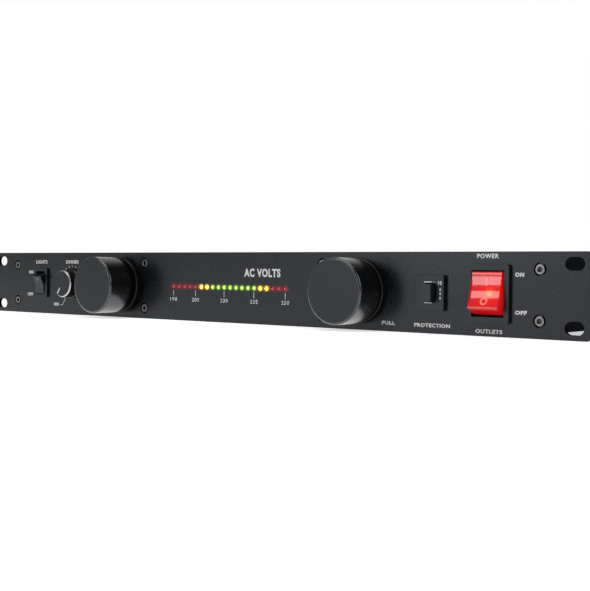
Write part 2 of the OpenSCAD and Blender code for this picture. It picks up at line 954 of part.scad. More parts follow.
// The push-on tabs and the earth stud on the tray's floor
module wire_terminals() {
    color("#c9b26a") {
        translate([stud_x, stud_y, case_floor])
            cylinder(r = stud_r, h = stud_h);
        for (z = [-tab_z[0], tab_z[0]]) {
            spade(lights_x, lights_set[7], z + switch_z);
            spade(breaker_x, breaker_depth, z);
        }
        for (x = [-tab_x, tab_x], z = [-tab_z[1], tab_z[1]])
            spade(power_x + x, power_set[7], z + switch_z);
    }
}

// Three openings or pins at the contact places of a coupler
module contact_places() {
    for (x = [-1, 1])
        translate([x * contact_dx, -contact_dz])
            children();
    translate([0, contact_dz])
        children();
}

module outlet(i) {
    face_y = case_d + rear_flange_t;
    color("#151618")
        translate([outlet_pos(i), 0, 0])
            difference() {
                union() {
                    along_y(case_d, face_y)
                        round_rect(outlet_flange[0], outlet_flange[1], 1.5);
                    along_y(case_d - outlet_depth, case_d)
                        square(outlet_body - [2, 2] * touch_gap, center = true);
                }
                along_y(face_y - moat_depth, face_y + past)
                    difference() {
                        coupler_shape(outlet_moat);
                        coupler_shape(outlet_core);
                    }
                along_y(face_y - contact_slot_depth, face_y + past)
                    contact_places()
                        square(contact_slot, center = true);
            }
}

module mains_inlet() {
    face_y = case_d + rear_flange_t;
    color("#151618")
        translate([inlet_x, 0, 0])
            difference() {
                union() {
                    along_y(case_d, face_y)
                        round_rect(inlet_flange[0], inlet_flange[1], 3);
                    along_y(case_d - outlet_depth, case_d)
                        square(inlet_body - [2, 2] * touch_gap, center = true);
                }
                along_y(face_y - moat_depth, face_y + past)
                    coupler_shape(inlet_recess);
                along_y(case_d - outlet_depth - past, case_d)
                    contact_places()
                        square(pin_size + [2, 2] * touch_gap, center = true);
                for (x = [-1, 1])
                    translate([x * inlet_screw_dx / 2, 0, 0])
                        along_y(case_d - past, face_y + past)
                            circle(screw_r + touch_gap);
            }
}

module inlet_pins() {
    color("#cfcab8")
        translate([inlet_x, 0, 0])
            along_y(case_d - outlet_depth - inlet_tab, case_d + rear_flange_t - pin_tip)
                contact_places()
                    square(pin_size, center = true);
}

module inlet_screws() {
    face_y = case_d + rear_flange_t;
    color("#9a9a96")
        for (x = [-1, 1])
            translate([inlet_x + x * inlet_screw_dx / 2, 0, 0])
                difference() {
                    union() {
                        along_y(face_y, face_y + cover_head_t)
                            circle(cover_head_r);
                        along_y(face_y - screw_len, face_y)
                            circle(screw_r);
                    }
                    along_y(face_y + cover_head_t / 2, face_y + cover_head_t + past)
                        circle(hex_r, $fn = 6);
                }
}

// A rail with one tab for each outlet; the tabs stand at x and reach from z0 to z1
module rail(x, y, z, z0, z1) {
    first = outlet_pos(outlet_count) - rail_past;
    translate([first, y, z - rail_h / 2])
        cube([outlet_x + 2 * rail_past - first, rail_t, rail_h]);
    for (i = [1 : outlet_count])
        translate([outlet_pos(i) + x - rail_tab / 2, y, z0])
            cube([rail_tab, case_d - outlet_depth - y, z1 - z0]);
}

module outlet_rails() {
    color("#c8a24c") {
        rail(-contact_dx, rail_y, -rail_z, -rail_z - rail_h / 2, 0);
        rail(contact_dx, rail_y, rail_z, -contact_dz - 2, rail_z + rail_h / 2);
        rail(0, earth_rail_y, contact_dz, 0, 2 * contact_dz);
    }
}

// A lead leaves each tab, pin and rail squarely: the routes begin and end with a short straight run along Y
module live_leads() {
    x = power_x - tab_x;
    low = switch_z - tab_z[1];
    high = switch_z + tab_z[1];
    color("#6b3f1f") {
        lead([[inlet_x - contact_dx, pin_back, -contact_dz], [inlet_x - contact_dx, 163, -contact_dz],
              [180, 148, -5], [176, 120, lead_z], [160, 75, lead_z], [breaker_x, 58, -10],
              [breaker_x, 43, -tab_z[0]], [breaker_x, breaker_tab_y, -tab_z[0]]]);
        lead([[breaker_x, breaker_tab_y, tab_z[0]], [breaker_x, 44, tab_z[0]], [154, 56, 8],
              [168, 60, 11], [x, 54, high], [x, 42, high], [x, power_tab_y, high]]);
        lead([[x, power_tab_y, low], [x, 42, low], [x, 54, -10], [166, 85, -13], [152, 140, -12],
              [rail_lead_x[0], 155, -rail_z], [rail_lead_x[0], rail_y - touch_gap, -rail_z]]);
    }
}

module neutral_leads() {
    x = power_x + tab_x;
    low = switch_z - tab_z[1];
    high = switch_z + tab_z[1];
    color("#2f5fa8") {
        lead([[inlet_x + contact_dx, pin_back, -contact_dz], [inlet_x + contact_dx, 163, -contact_dz],
              [197, 150, -5], [206, 120, lead_z], [206, 70, lead_z], [x, 54, -12], [x, 42, low],
              [x, power_tab_y, low]]);
        lead([[x, power_tab_y, high], [x, 42, high], [x, 54, 10], [172, 100, 12],
              [156, 145, 12], [rail_lead_x[1], 158, rail_z], [rail_lead_x[1], rail_y - touch_gap, rail_z]]);
    }
}

// The earth lead runs from the inlet to a stud on the tray, and on to the earth rail
module earth_leads() {
    reach = stud_r + touch_gap;
    color("#7fae3a") {
        lead([[inlet_x, pin_back, contact_dz], [inlet_x, 162, contact_dz], [188, 152, -4],
              [186, 142, -14], [188, stud_y, lead_z], [stud_x - reach, stud_y, lead_z]]);
        lead([[stud_x, stud_y + reach, lead_z], [stud_x, 148, lead_z], [190, 158, -13], [170, 160, -6],
              [158, 154, 0], [rail_lead_x[1], 156, contact_dz],
              [rail_lead_x[1], earth_rail_y - touch_gap, contact_dz]]);
    }
}

module supply_board() {
    color("#2f6b3f")
        translate([0, supply_y, supply_z + board_t / 2])
            cube([supply_size[0], supply_size[1], board_t], center = true);
}

// Four spacers carry the meter board on the panel, and four carry the supply board on the tray's floor
module board_spacers() {
    color("#c9b26a")
        for (i = [-1, 1], k = [-1, 1]) {
            translate([i * spacer_x, 0, k * spacer_z]) {
                along_y(0, meter_y)
                    circle(spacer_r);
                along_y(meter_y, meter_y + board_t + spacer_stub)
                    circle(screw_r);
            }
            translate([i * (supply_size[0] / 2 - supply_edge),
                       supply_y + k * (supply_size[1] / 2 - supply_edge), case_floor])
                cylinder(r = spacer_r, h = supply_standoff);
        }
}

// A laminated core with two windows that the coil fills
module transformer_core() {
    color("#6d7074")
        translate([core_x, supply_y, supply_z + board_t + core_size[2] / 2])
            difference() {
                cube(core_size, center = true);
                for (x = [-1, 1])
                    translate([x * (core_window + core_leg) / 2, 0, 0])
                        cube([core_window, core_size[1] + past, core_size[2] - 2 * core_leg], center = true);
            }
}

module transformer_coil() {
    color("#b9772f")
        translate([core_x, supply_y, supply_z + board_t + core_size[2] / 2])
            difference() {
                cube([core_leg + 2 * core_window - coil_gap, core_size[1] + coil_past,
                      core_size[2] - 2 * core_leg - coil_gap], center = true);
                cube([core_leg + coil_gap / 4, core_size[1] + coil_gap / 4, core_size[2]], center = true);
            }
}

module lamp_part(name) {
    if (name == "trim_ring") trim_ring();
    if (name == "guide_sleeve") guide_sleeve();
    if (name == "lamp_bracket") lamp_bracket();
    if (name == "slide_collar") slide_collar();
    if (name == "lamp_tube") lamp_tube();
    if (name == "lamp_knob") lamp_knob();
    if (name == "lamp_lens") lamp_lens();
    if (name == "lamp_strip") lamp_strip();
    if (name == "lamp_plug") lamp_plug();
}

front_panel();
panel_screws();
chassis_tray();
rear_panel();
top_cover();
cover_screws();
for (i = [0, 1], k = [0 : len(lamp_nodes) - 1])
    translate([side_of(i) * lamp_x, k > 2 ? -out_of(i) : 0, 0])
            mirror([i == 0 ? 1 : 0, 0, 0])
                lamp_part(lamp_nodes[k]);
lights_switch_frame();
lights_rocker();
dimmer_knob();
dimmer_shaft();
dimmer_pot();
dimmer_nut();
meter_board();
meter_chips();
red_leds();
yellow_leds();
green_leds();
breaker_frame();
breaker_button();
power_switch_frame();
power_rocker();
power_neon_lamp();
wire_terminals();
mains_inlet();
inlet_pins();
inlet_screws();
for (i = [1 : outlet_count])
    outlet(i);
outlet_rails();
live_leads();
neutral_leads();
earth_leads();
supply_board();
board_spacers();
transformer_core();
transformer_coil();
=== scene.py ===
# Rack voltmeter, one unit high: its looks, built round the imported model. The dictionaries give sizes in mm.
import json
import math

import bmesh
import bpy
from mathutils import Matrix, Vector


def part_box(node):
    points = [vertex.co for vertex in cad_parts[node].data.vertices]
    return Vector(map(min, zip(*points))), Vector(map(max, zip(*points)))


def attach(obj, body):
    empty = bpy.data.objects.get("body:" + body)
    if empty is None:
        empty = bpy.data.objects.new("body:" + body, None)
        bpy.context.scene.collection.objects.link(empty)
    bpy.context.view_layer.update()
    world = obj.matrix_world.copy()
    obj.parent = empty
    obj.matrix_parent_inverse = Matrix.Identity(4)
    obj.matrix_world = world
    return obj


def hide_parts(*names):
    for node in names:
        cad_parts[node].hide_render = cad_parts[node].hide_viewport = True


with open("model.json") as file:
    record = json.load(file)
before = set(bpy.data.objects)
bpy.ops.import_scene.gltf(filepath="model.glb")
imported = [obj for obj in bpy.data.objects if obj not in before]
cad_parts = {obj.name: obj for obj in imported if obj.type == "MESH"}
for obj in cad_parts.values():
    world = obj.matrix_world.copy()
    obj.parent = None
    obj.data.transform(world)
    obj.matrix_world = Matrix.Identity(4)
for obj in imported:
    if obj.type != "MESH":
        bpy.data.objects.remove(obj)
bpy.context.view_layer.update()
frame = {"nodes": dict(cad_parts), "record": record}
cadNodes = frame["nodes"]
bodyOf = {name: body for body, names in frame["record"]["behaviour"]["bodies"].items() for name in names}
mm = 0.001
panelFront = -2.5
print("stage: frame loaded,", len(cadNodes), "nodes")


def linear(hexColour):
    parts = [int(hexColour[i:i + 2], 16) / 255 for i in (1, 3, 5)]
    return [c / 12.92 if c <= 0.04045 else ((c + 0.055) / 1.055) ** 2.4 for c in parts] + [1.0]


def addNode(tree, kind, settings=None, links=None):
    node = tree.nodes.new(kind)
    for key, value in (settings or {}).items():
        if isinstance(key, str) and hasattr(node, key):
            setattr(node, key, value)
        else:
            node.inputs[key].default_value = value
    for key, source in (links or {}).items():
        tree.links.new(source, node.inputs[key])
    return node


def startMaterial(name):
    material = bpy.data.materials.new(name)
    material.use_nodes = True
    material.node_tree.nodes.clear()
    where = addNode(material.node_tree, "ShaderNodeTexCoord").outputs["Object"]
    return material, material.node_tree, where


def surface(name, dark, light, rough, patch=5.0, grain=0.5, depth=0.004, stretch=(1, 1, 1), **sockets):
    # patch: size of the soft changes of colour; grain and depth: size and height of the texture, all in mm
    material, tree, where = startMaterial(name)
    spread = addNode(tree, "ShaderNodeMapping", {"Scale": stretch}, {"Vector": where}).outputs[0]
    patches = addNode(tree, "ShaderNodeTexNoise", {"Scale": 1 / (patch * mm), "Detail": 3.0},
                      {"Vector": spread})
    grains = addNode(tree, "ShaderNodeTexNoise", {"Scale": 1 / (grain * mm), "Detail": 2.0},
                     {"Vector": spread})
    ramp = addNode(tree, "ShaderNodeMapRange", {"From Min": 0.3, "From Max": 0.7},
                   {"Value": patches.outputs[0]})
    colour = addNode(tree, "ShaderNodeMix", {"data_type": "RGBA", 6: linear(dark), 7: linear(light)},
                     {0: ramp.outputs[0]})
    gloss = addNode(tree, "ShaderNodeMapRange", {"From Min": 0.25, "From Max": 0.75, "To Min": rough[0],
                                                 "To Max": rough[1]}, {"Value": grains.outputs[0]})
    bump = addNode(tree, "ShaderNodeBump", {"Strength": 0.6, "Distance": depth * mm},
                   {"Height": grains.outputs[0]})
    shader = addNode(tree, "ShaderNodeBsdfPrincipled", sockets,
                     {"Base Color": colour.outputs[2], "Roughness": gloss.outputs[0],
                      "Normal": bump.outputs[0]})
    addNode(tree, "ShaderNodeOutputMaterial", None, {"Surface": shader.outputs[0]})
    return material


def shaderOf(material):
    return next(n for n in material.node_tree.nodes if n.type == "BSDF_PRINCIPLED")


def darkened(material, inner, start, end):
    # Goes over to an inner colour along Y, from start to end in mm: painted shade in a socket
    tree, shader = material.node_tree, shaderOf(material)
    where = next(n for n in tree.nodes if n.type == "TEX_COORD").outputs["Object"]
    depth = addNode(tree, "ShaderNodeSeparateXYZ", None, {0: where}).outputs[1]
    share = addNode(tree, "ShaderNodeMapRange", {"From Min": start * mm, "From Max": end * mm},
                    {"Value": depth})
    outer = shader.inputs["Base Color"].links[0].from_socket
    mixed = addNode(tree, "ShaderNodeMix", {"data_type": "RGBA", 7: linear(inner)},
                    {0: share.outputs[0], 6: outer})
    tree.links.new(mixed.outputs[2], shader.inputs["Base Color"])


cool = {"Specular Tint": linear("#eff6ff")}
finishes = {
    # Satin black powder coat: nearly black, its cool grey is the studio's soft reflection, its peel 1.2 mm
    "panelCoat": surface("satinPowderCoat", "#06080b", "#0a0c0f", (0.24, 0.3), 14, 1.2, 0.0006, IOR=1.47,
                         **cool),
    # Fine-texture powder coat on the case, gritty at 0.7 mm; thin and quite matt on its sides and in slots
    "caseCoat": surface("texturedPowderCoat", "#0f1012", "#16171a", (0.5, 0.62), 9, 0.7, 0.02, IOR=1.4,
                        **{"Specular IOR Level": 0.22}),
    "thinCoat": surface("thinPowderCoat", "#0b0c0e", "#101114", (0.6, 0.72), 9, 0.7, 0.02, IOR=1.4,
                        **{"Specular IOR Level": 0.02}),
    # Moulded ABS, spark-eroded satin on the knobs' ends, polished by the mould on their sides
    "knobEnd": surface("satinAbs", "#070a0b", "#0a0d0e", (0.3, 0.38), 6, 0.5, 0.0012, IOR=1.48, **cool),
    "knobSide": surface("polishedAbs", "#020303", "#040505", (0.24, 0.3), 8, 0.8, 0.0004, IOR=1.54,
                        **{"Coat Weight": 1.0, "Coat Roughness": 0.24}, **cool),
    "ringPlastic": surface("satinAbsRing", "#050607", "#08090a", (0.34, 0.42), 5, 0.5, 0.001, IOR=1.5),
    # Moulded nylon 66 of switches and couplers, a dull black with a faint 0.4 mm grain
    "nylon": surface("mouldedNylon", "#07090b", "#0b0e10", (0.34, 0.44), 4, 0.4, 0.0015, IOR=1.5, **cool),
    "rockerNylon": surface("polishedNylon", "#080a0d", "#0d1013", (0.24, 0.32), 4, 0.5, 0.0008, IOR=1.48,
                           **cool),
    "buttonNylon": surface("satinNylon", "#0c1113", "#121719", (0.32, 0.42), 4, 0.4, 0.0015, IOR=1.5,
                           **cool),
    # Zinc-plated steel, silvery grey with fine turning marks
    "zincSteel": surface("zincPlatedSteel", "#6b6b6b", "#848484", (0.24, 0.34), 1.2, 0.25, 0.002,
                         Metallic=1.0),
    "zincSheet": surface("zincPlatedSheet", "#a6acb0", "#c6cacc", (0.28, 0.42), 12, 1.0, 0.002,
                         Metallic=1.0),
    "blackScrew": surface("blackOxideSteel", "#1b1c1e", "#26272a", (0.3, 0.42), 1.5, 0.3, 0.002,
                          Metallic=0.7),
    # Diamond-cut aluminium edge of the dimmer knob, bright, with turning lines
    "cutAluminium": surface("diamondCutAluminium", "#b8babe", "#d0d2d6", (0.36, 0.46), 2, 0.3, 0.001,
                            Metallic=1.0),
    "dimmerCap": surface("satinKnobCap", "#080a0c", "#0c0e10", (0.34, 0.42), 4, 0.4, 0.001, IOR=1.48,
                         **cool),
    "dimmerBody": surface("flutedAbs", "#040506", "#08090a", (0.3, 0.4), 4, 0.4, 0.001, IOR=1.5),
    # Black anodised aluminium tube of the lamps, drawn, so its fine lines run along it
    "tubeBlack": surface("blackAnodisedAluminium", "#1c1d20", "#26282b", (0.26, 0.38), 6, 0.5, 0.001,
                         (1, 0.12, 1), Metallic=0.8),
    "steelShaft": surface("turnedSteel", "#9a9ca0", "#b9bbbe", (0.25, 0.35), 1.5, 0.3, 0.001, (1, 8, 1),
                          Metallic=1.0),
    # Screen-printed epoxy ink, off-white, a little uneven where the mesh pressed
    "ink": surface("screenInk", "#eceded", "#fafbfb", (0.5, 0.62), 1.5, 0.35, 0.002),
    "dimInk": surface("wornInk", "#77797c", "#98999c", (0.5, 0.62), 1.2, 0.35, 0.002),
    # Acetal slides, a waxy milky white
    "acetal": surface("acetal", "#dddcd4", "#ebeae3", (0.34, 0.46), 6, 0.6, 0.002, IOR=1.48),
    "brass": surface("drawnBrass", "#b08d4a", "#cfae6a", (0.24, 0.38), 3, 0.4, 0.002, (1, 0.25, 1),
                     Metallic=1.0),
    "nickel": surface("nickelPlatedBrass", "#bdb8a8", "#d8d4c8", (0.18, 0.3), 2, 0.3, 0.001, Metallic=1.0),
    "solderMask": surface("whiteSolderMask", "#d8dcdc", "#e8ebeb", (0.3, 0.42), 5, 0.6, 0.002),
    "potBody": surface("phenolicAndBoard", "#16331f", "#1f4429", (0.4, 0.55), 3, 0.5, 0.003),
    "chipBody": surface("mouldedEpoxy", "#161719", "#202124", (0.5, 0.62), 1.5, 0.3, 0.004),
    "coilTape": surface("polyesterTape", "#b47426", "#cf8f38", (0.22, 0.36), 4, 1.4, 0.02, (1, 0.2, 1)),
    "brownLead": surface("brownPvc", "#4a2713", "#5d331b", (0.36, 0.46), 4, 0.8, 0.004),
    "blueLead": surface("bluePvc", "#173f92", "#2250a8", (0.36, 0.46), 4, 0.8, 0.004),
}
# Painted shade: the zinc screws go dark inside their sockets
darkened(finishes["zincSteel"], "#3c3c3d", panelFront - 0.1, panelFront + 0.3)
print("stage: plain finishes,", len(finishes))


def rampTo(tree, stops, factor):
    # A colour ramp from places between 0 and 1 with their hex colours
    ramp = addNode(tree, "ShaderNodeValToRGB", None, {0: factor})
    for stop in stops[1:-1]:
        ramp.color_ramp.elements.new(stop[0])
    for element, (place, hexColour) in zip(ramp.color_ramp.elements, stops):
        element.position = place
        element.color = linear(hexColour)
    return ramp.outputs[0]


leds = {"colours": ["red"] * 5 + ["yellow"] * 2 + ["green"] * 8 + ["yellow"] * 2 + ["red"] * 3, "pitch": 5.0,
        "radius": 1.5, "proud": 0.6, "flange": 1.9, "flangeFrom": 0.1, "flangeTo": 1.1,
        "pinPitch": 2.54, "pin": 0.5, "pinEnd": 8.0, "shoulder": 0.45, "shoulderFrom": 3.4,
        "shoulderTo": 4.2, "shoulderSlope": 0.3}
lastLed = len(leds["colours"]) - 1
# Painted light: the panel's paint glows round each proud dome, from one radius to another and less far up and
# down
spill = {"from": 1.3, "to": 3.6, "squash": 1.4, "fade": 1.5, "end": 60.0,
         "red": "#8a141c", "yellow": "#dc9420", "green": "#4f8c1c"}


def ledX(number):
    return (number - lastLed / 2) * leds["pitch"]


def toNearestLed(tree, where, squash=1.0):
    # The LEDs stand at odd multiples of half the pitch along X. The second output is X itself.
    half = leds["pitch"] / 2 * mm
    parts = addNode(tree, "ShaderNodeSeparateXYZ", None, {0: where})
    there = addNode(tree, "ShaderNodeMath", {"operation": "PINGPONG", 1: half}, {0: parts.outputs[0]})
    across = addNode(tree, "ShaderNodeMath", {"operation": "SUBTRACT", 0: half}, {1: there.outputs[0]})
    height = addNode(tree, "ShaderNodeMath", {"operation": "MULTIPLY", 1: squash}, {0: parts.outputs[2]})
    flat = addNode(tree, "ShaderNodeCombineXYZ", None, {0: across.outputs[0], 2: height.outputs[0]})
    away = addNode(tree, "ShaderNodeVectorMath", {"operation": "LENGTH"}, {0: flat.outputs[0]})
    return away.outputs["Value"], parts.outputs[0]


def litLens(name, stops, body, strength):
    # Tinted epoxy of a round LED, brightest over its chip and deeper in colour at its rim
    material, tree, where = startMaterial(name)
    away = toNearestLed(tree, where)[0]
    share = addNode(tree, "ShaderNodeMath", {"operation": "DIVIDE", 1: leds["radius"] * mm}, {0: away})
    glow = rampTo(tree, stops, share.outputs[0])
    shader = addNode(tree, "ShaderNodeBsdfPrincipled",
                     {"Base Color": linear(body), "Roughness": 0.12, "IOR": 1.55,
                      "Emission Strength": strength},
                     {"Emission Color": glow})
    addNode(tree, "ShaderNodeOutputMaterial", None, {"Surface": shader.outputs[0]})
    return material


def lightSpill(material):
    # Painted light in the panel's emission: each stop's colour goes on to the next one's place along X, and
    # the row's two ends are black
    stops = [(-spill["end"], "#000000")]
    for number, colour in enumerate(leds["colours"]):
        if number == 0 or colour != leds["colours"][number - 1]:
            stops.append((ledX(number - 0.5), spill[colour]))
    stops.append((ledX(lastLed + 0.5), "#000000"))
    tree, shader = material.node_tree, shaderOf(material)
    where = next(n for n in tree.nodes if n.type == "TEX_COORD").outputs["Object"]
    away, along = toNearestLed(tree, where, spill["squash"])
    end = spill["end"]
    place = addNode(tree, "ShaderNodeMapRange", {"From Min": -end * mm, "From Max": end * mm},
                    {"Value": along})
    tint = rampTo(tree, [((x + end) / (2 * end), colour) for x, colour in stops], place.outputs[0])
    tint.node.color_ramp.interpolation = "CONSTANT"
    near = addNode(tree, "ShaderNodeMapRange", {"From Min": spill["from"] * mm, "From Max": spill["to"] * mm,
                                                "To Min": 1.0, "To Max": 0.0}, {"Value": away})
    soft = addNode(tree, "ShaderNodeMath", {"operation": "POWER", 1: spill["fade"]}, {0: near.outputs[0]})
    tree.links.new(tint, shader.inputs["Emission Color"])
    tree.links.new(soft.outputs[0], shader.inputs["Emission Strength"])


# Unlit red LEDs keep a dull cherry colour under a weak painted glow, pink over the chip; the others are lit
paintedRedGlowStops = [(0, "#d85068"), (0.6, "#a41c28"), (1, "#5a060c")]
yellowStops = [(0, "#fff3a0"), (0.6, "#ffe048"), (1, "#ffa018")]
greenStops = [(0, "#f4ffa4"), (0.6, "#c8f05c"), (1, "#5f9a18")]
finishes["ledRed"] = litLens("tintedEpoxyRedPaintedGlow", paintedRedGlowStops, "#7c0d12", 0.75)
finishes["ledYellow"] = litLens("tintedEpoxyYellow", yellowStops, "#d8a020", 2.8)
finishes["ledGreen"] = litLens("tintedEpoxyGreen", greenStops, "#5c9a28", 1.3)
# Painted light: a glow in the panel's paint round every LED, the unlit red ones too
lightSpill(finishes["panelCoat"])


rocker = {"pivot": (185.3, panelFront + 2.2, 0.2), "tilt": -14.5, "valley": 6.4, "lip": 7.65, "half": 9.9,
          "lipSoft": 0.1, "sag": 0.27, "cuts": 11, "facetArea": 100.0, "facetFrom": 2.0, "facetEdge": 5.0,
          "glow": (2.4, -5.1, -1.5), "glowReach": 14.0, "cloud": 3.846, "wobble": 0.05}


def rockerSwing(shape):
    # From a rocker's own frame, in mm, to the part's
    return Matrix.Translation(shape["pivot"]) @ Matrix.Rotation(math.radians(shape["tilt"]), 4, "X")


swing = rockerSwing(rocker)
unswing = swing.inverted()


def redLens():
    # Tinted polycarbonate over a neon lamp, its glow painted in as emission: deep red, orange and then yellow
    # near the lamp
    material, tree, where = startMaterial("tintedPolycarbonatePaintedGlow")
    away = addNode(tree, "ShaderNodeVectorMath",
                   {"operation": "DISTANCE", 1: swing @ Vector(rocker["glow"]) * mm}, {0: where})
    share = addNode(tree, "ShaderNodeMath", {"operation": "DIVIDE", 1: rocker["glowReach"] * mm},
                    {0: away.outputs["Value"]})
    cloud = addNode(tree, "ShaderNodeTexNoise", {"Scale": 1 / (rocker["cloud"] * mm), "Detail": 2.0},
                    {"Vector": where})
    wobble = addNode(tree, "ShaderNodeMath", {"operation": "MULTIPLY_ADD", 1: rocker["wobble"]},
                     {0: cloud.outputs[0], 2: share.outputs[0]})
    glow = rampTo(tree, [(0.0, "#ffd648"), (0.12, "#ffb432"), (0.2, "#f0481c"), (0.34, "#c01215"),
                         (1.0, "#7c0a12")], wobble.outputs[0])
    shader = addNode(tree, "ShaderNodeBsdfPrincipled",
                     {"Base Color": linear("#dc1414"), "Roughness": 0.07, "IOR": 1.585,
                      "Emission Strength": 0.66},
                     {"Emission Color": glow})
    addNode(tree, "ShaderNodeOutputMaterial", None, {"Surface": shader.outputs[0]})
    return material


def glowing(name, base, emission, strength, rough, grain, **sockets):
    material = surface(name, base[0], base[1], rough, 4, grain, 0.002, **sockets)
    shader = shaderOf(material)
    shader.inputs["Emission Color"].default_value = linear(emission)
    shader.inputs["Emission Strength"].default_value = strength
    return material


def boardGreen():
    # Glass-epoxy board: green mask, paler over the copper tracks that run 2.5 mm apart
    material, tree, where = startMaterial("greenSolderMask")
    tracks = addNode(tree, "ShaderNodeTexVoronoi",
                     {"distance": "MANHATTAN", "feature": "F2", "Scale": 1 / (2.5 * mm), "Randomness": 0.6},
                     {"Vector": where})
    share = addNode(tree, "ShaderNodeMapRange", {"From Min": 0.45, "From Max": 0.62},
                    {"Value": tracks.outputs[0]})
    colour = rampTo(tree, [(0, "#1d5a2e"), (0.5, "#2a6e3a"), (1, "#3a8448")], share.outputs[0])
    bump = addNode(tree, "ShaderNodeBump", {"Strength": 0.5, "Distance": 0.03 * mm},
                   {"Height": share.outputs[0]})
    shader = addNode(tree, "ShaderNodeBsdfPrincipled", {"Roughness": 0.32, "IOR": 1.55},
                     {"Base Color": colour, "Normal": bump.outputs[0]})
    addNode(tree, "ShaderNodeOutputMaterial", None, {"Surface": shader.outputs[0]})
    return material


def striped(name, first, second, spacing, angle, depth, **sockets):
    # Two colours in bands: laminations of a core, or the stripe along an earth lead. The wave texture
    # repeats every pi / 10 at a scale of 1.
    material, tree, where = startMaterial(name)
    aligned = addNode(tree, "ShaderNodeMapping", {"Rotation": angle}, {"Vector": where}).outputs[0]
    bands = addNode(tree, "ShaderNodeTexWave",
                    {"Scale": math.pi / 10 / (spacing * mm), "Distortion": 0.4, "Detail": 1.0,
                     "Detail Scale": 2.0}, {"Vector": aligned})
    colour = rampTo(tree, [(0.0, first), (0.55, first), (0.65, second), (1.0, second)], bands.outputs[0])
    bump = addNode(tree, "ShaderNodeBump", {"Strength": 0.6, "Distance": depth * mm},
                   {"Height": bands.outputs[0]})
    shader = addNode(tree, "ShaderNodeBsdfPrincipled", sockets,
                     {"Base Color": colour, "Normal": bump.outputs[0]})
    addNode(tree, "ShaderNodeOutputMaterial", None, {"Surface": shader.outputs[0]})
    return material


finishes["redLens"] = redLens()
finishes["neon"] = glowing("neonGlass", ("#ffb04a", "#ffc870"), "#ff9a34", 3.0, (0.05, 0.1), 0.5, IOR=1.5)
# The lamps' frosted lens and yellow phosphor get a faint painted glow
finishes["frosted"] = glowing("frostedPolycarbonate", ("#eeeadb", "#f6f3e8"), "#fff3d8", 0.12,
                              (0.45, 0.6), 0.4, IOR=1.58)
finishes["phosphor"] = glowing("yellowPhosphor", ("#e8c83a", "#f2d95c"), "#fff0a0", 0.15, (0.4, 0.55), 0.3)
# The power rocker's marks get a painted glow, as if the lamp lit them from behind
finishes["litInk"] = glowing("litInk", ("#e88278", "#f2968c"), "#ff4a3a", 0.35, (0.14, 0.2), 0.35)
finishes["board"] = boardGreen()
finishes["core"] = striped("siliconSteelLaminations", "#4c5055", "#767b80", 0.5, (0, 0, math.pi / 2), 0.05,
                           Metallic=0.9, Roughness=0.4)
finishes["earthLead"] = striped("stripedPvc", "#4f9434", "#d9c93a", 4.0, (0.3, 0.5, 0.7), 0.002,
                                Roughness=0.42)
print("stage: finishes,", len(finishes))


def addPiece(name, mesh, body, materials, stands=(), smooth=40):
    mesh.name = name
    chosen = [face.material_index for face in mesh.polygons]
    mesh.materials.clear()
    for material in materials:
        mesh.materials.append(finishes[material])
    mesh.polygons.foreach_set("material_index", chosen)
    mesh.shade_smooth()
    mesh.set_sharp_from_angle(angle=math.radians(smooth))
    piece = bpy.data.objects.new(name, mesh)
    bpy.context.scene.collection.objects.link(piece)
    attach(piece, body)
    if stands:
        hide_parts(*stands)
    flats = piece.modifiers.new("flats", "WEIGHTED_NORMAL")
    flats.keep_sharp = True
    return piece


# How near points merge, in m, and the angles in degrees up to which faces join and past which edges round
cleaning = {"merge": 2e-6, "flat": 0.5, "sharp": 30}


def roundedCopy(node, width, segments=2, choose=None, shape=None):
    # A copy of a CAD node with its doubles merged and its sharp edges rounded, so that they catch the light
    bm = bmesh.new()
    bm.from_mesh(cadNodes[node].data)
    bmesh.ops.remove_doubles(bm, verts=bm.verts, dist=cleaning["merge"])
    bmesh.ops.dissolve_limit(bm, angle_limit=math.radians(cleaning["flat"]), verts=bm.verts, edges=bm.edges)
    if shape:
        shape(bm)
    sharp = math.radians(cleaning["sharp"])
    edges = [e for e in bm.edges if len(e.link_faces) == 2 and e.calc_face_angle(0) > sharp]
    bmesh.ops.bevel(bm, geom=edges, offset=width * mm, offset_type="OFFSET", segments=segments, profile=0.5,
                    affect="EDGES", clamp_overlap=True)
    if choose:
        for face in bm.faces:
            face.material_index = int(choose(face.calc_center_median() / mm, face.normal))
    mesh = bpy.data.meshes.new(node)
    bm.to_mesh(mesh)
    bm.free()
    return mesh


def softened(node, width, materials, segments=2, choose=None, shape=None):
    # A rounded copy in the node's place; choose picks the second material for some of its faces
    name = "".join(part.capitalize() if i else part for i, part in enumerate(node.split("_")))
    mesh = roundedCopy(node, width, segments, choose, shape)
    return addPiece(name, mesh, bodyOf[node], materials, (node,))


def fillet(outline, radii, closed, steps=5):
    # Rounds the corners of an outline of (radius, y) points; radii gives each corner's rounding
    made = []
    count = len(outline)
    for i, corner in enumerate(outline):
        here = Vector(corner)
        if radii[i] <= 0 or (not closed and i in (0, count - 1)):
            made.append(tuple(here))
            continue
        back, ahead = Vector(outline[i - 1]) - here, Vector(outline[(i + 1) % count]) - here
        half = back.angle(ahead) / 2
        reach = min(radii[i] / math.tan(half), 0.48 * back.length, 0.48 * ahead.length)
        bisector = (back.normalized() + ahead.normalized()).normalized()
        centre = here + bisector * (reach / math.cos(half))
        radius = reach * math.tan(half)
        start = here + back.normalized() * reach - centre
        end = here + ahead.normalized() * reach - centre
        sweep = start.angle_signed(end)
        for k in range(steps + 1):
            turn = sweep * k / steps
            made.append(tuple(centre + Matrix.Rotation(-turn, 2) @ start * (radius / start.length)))
    return made


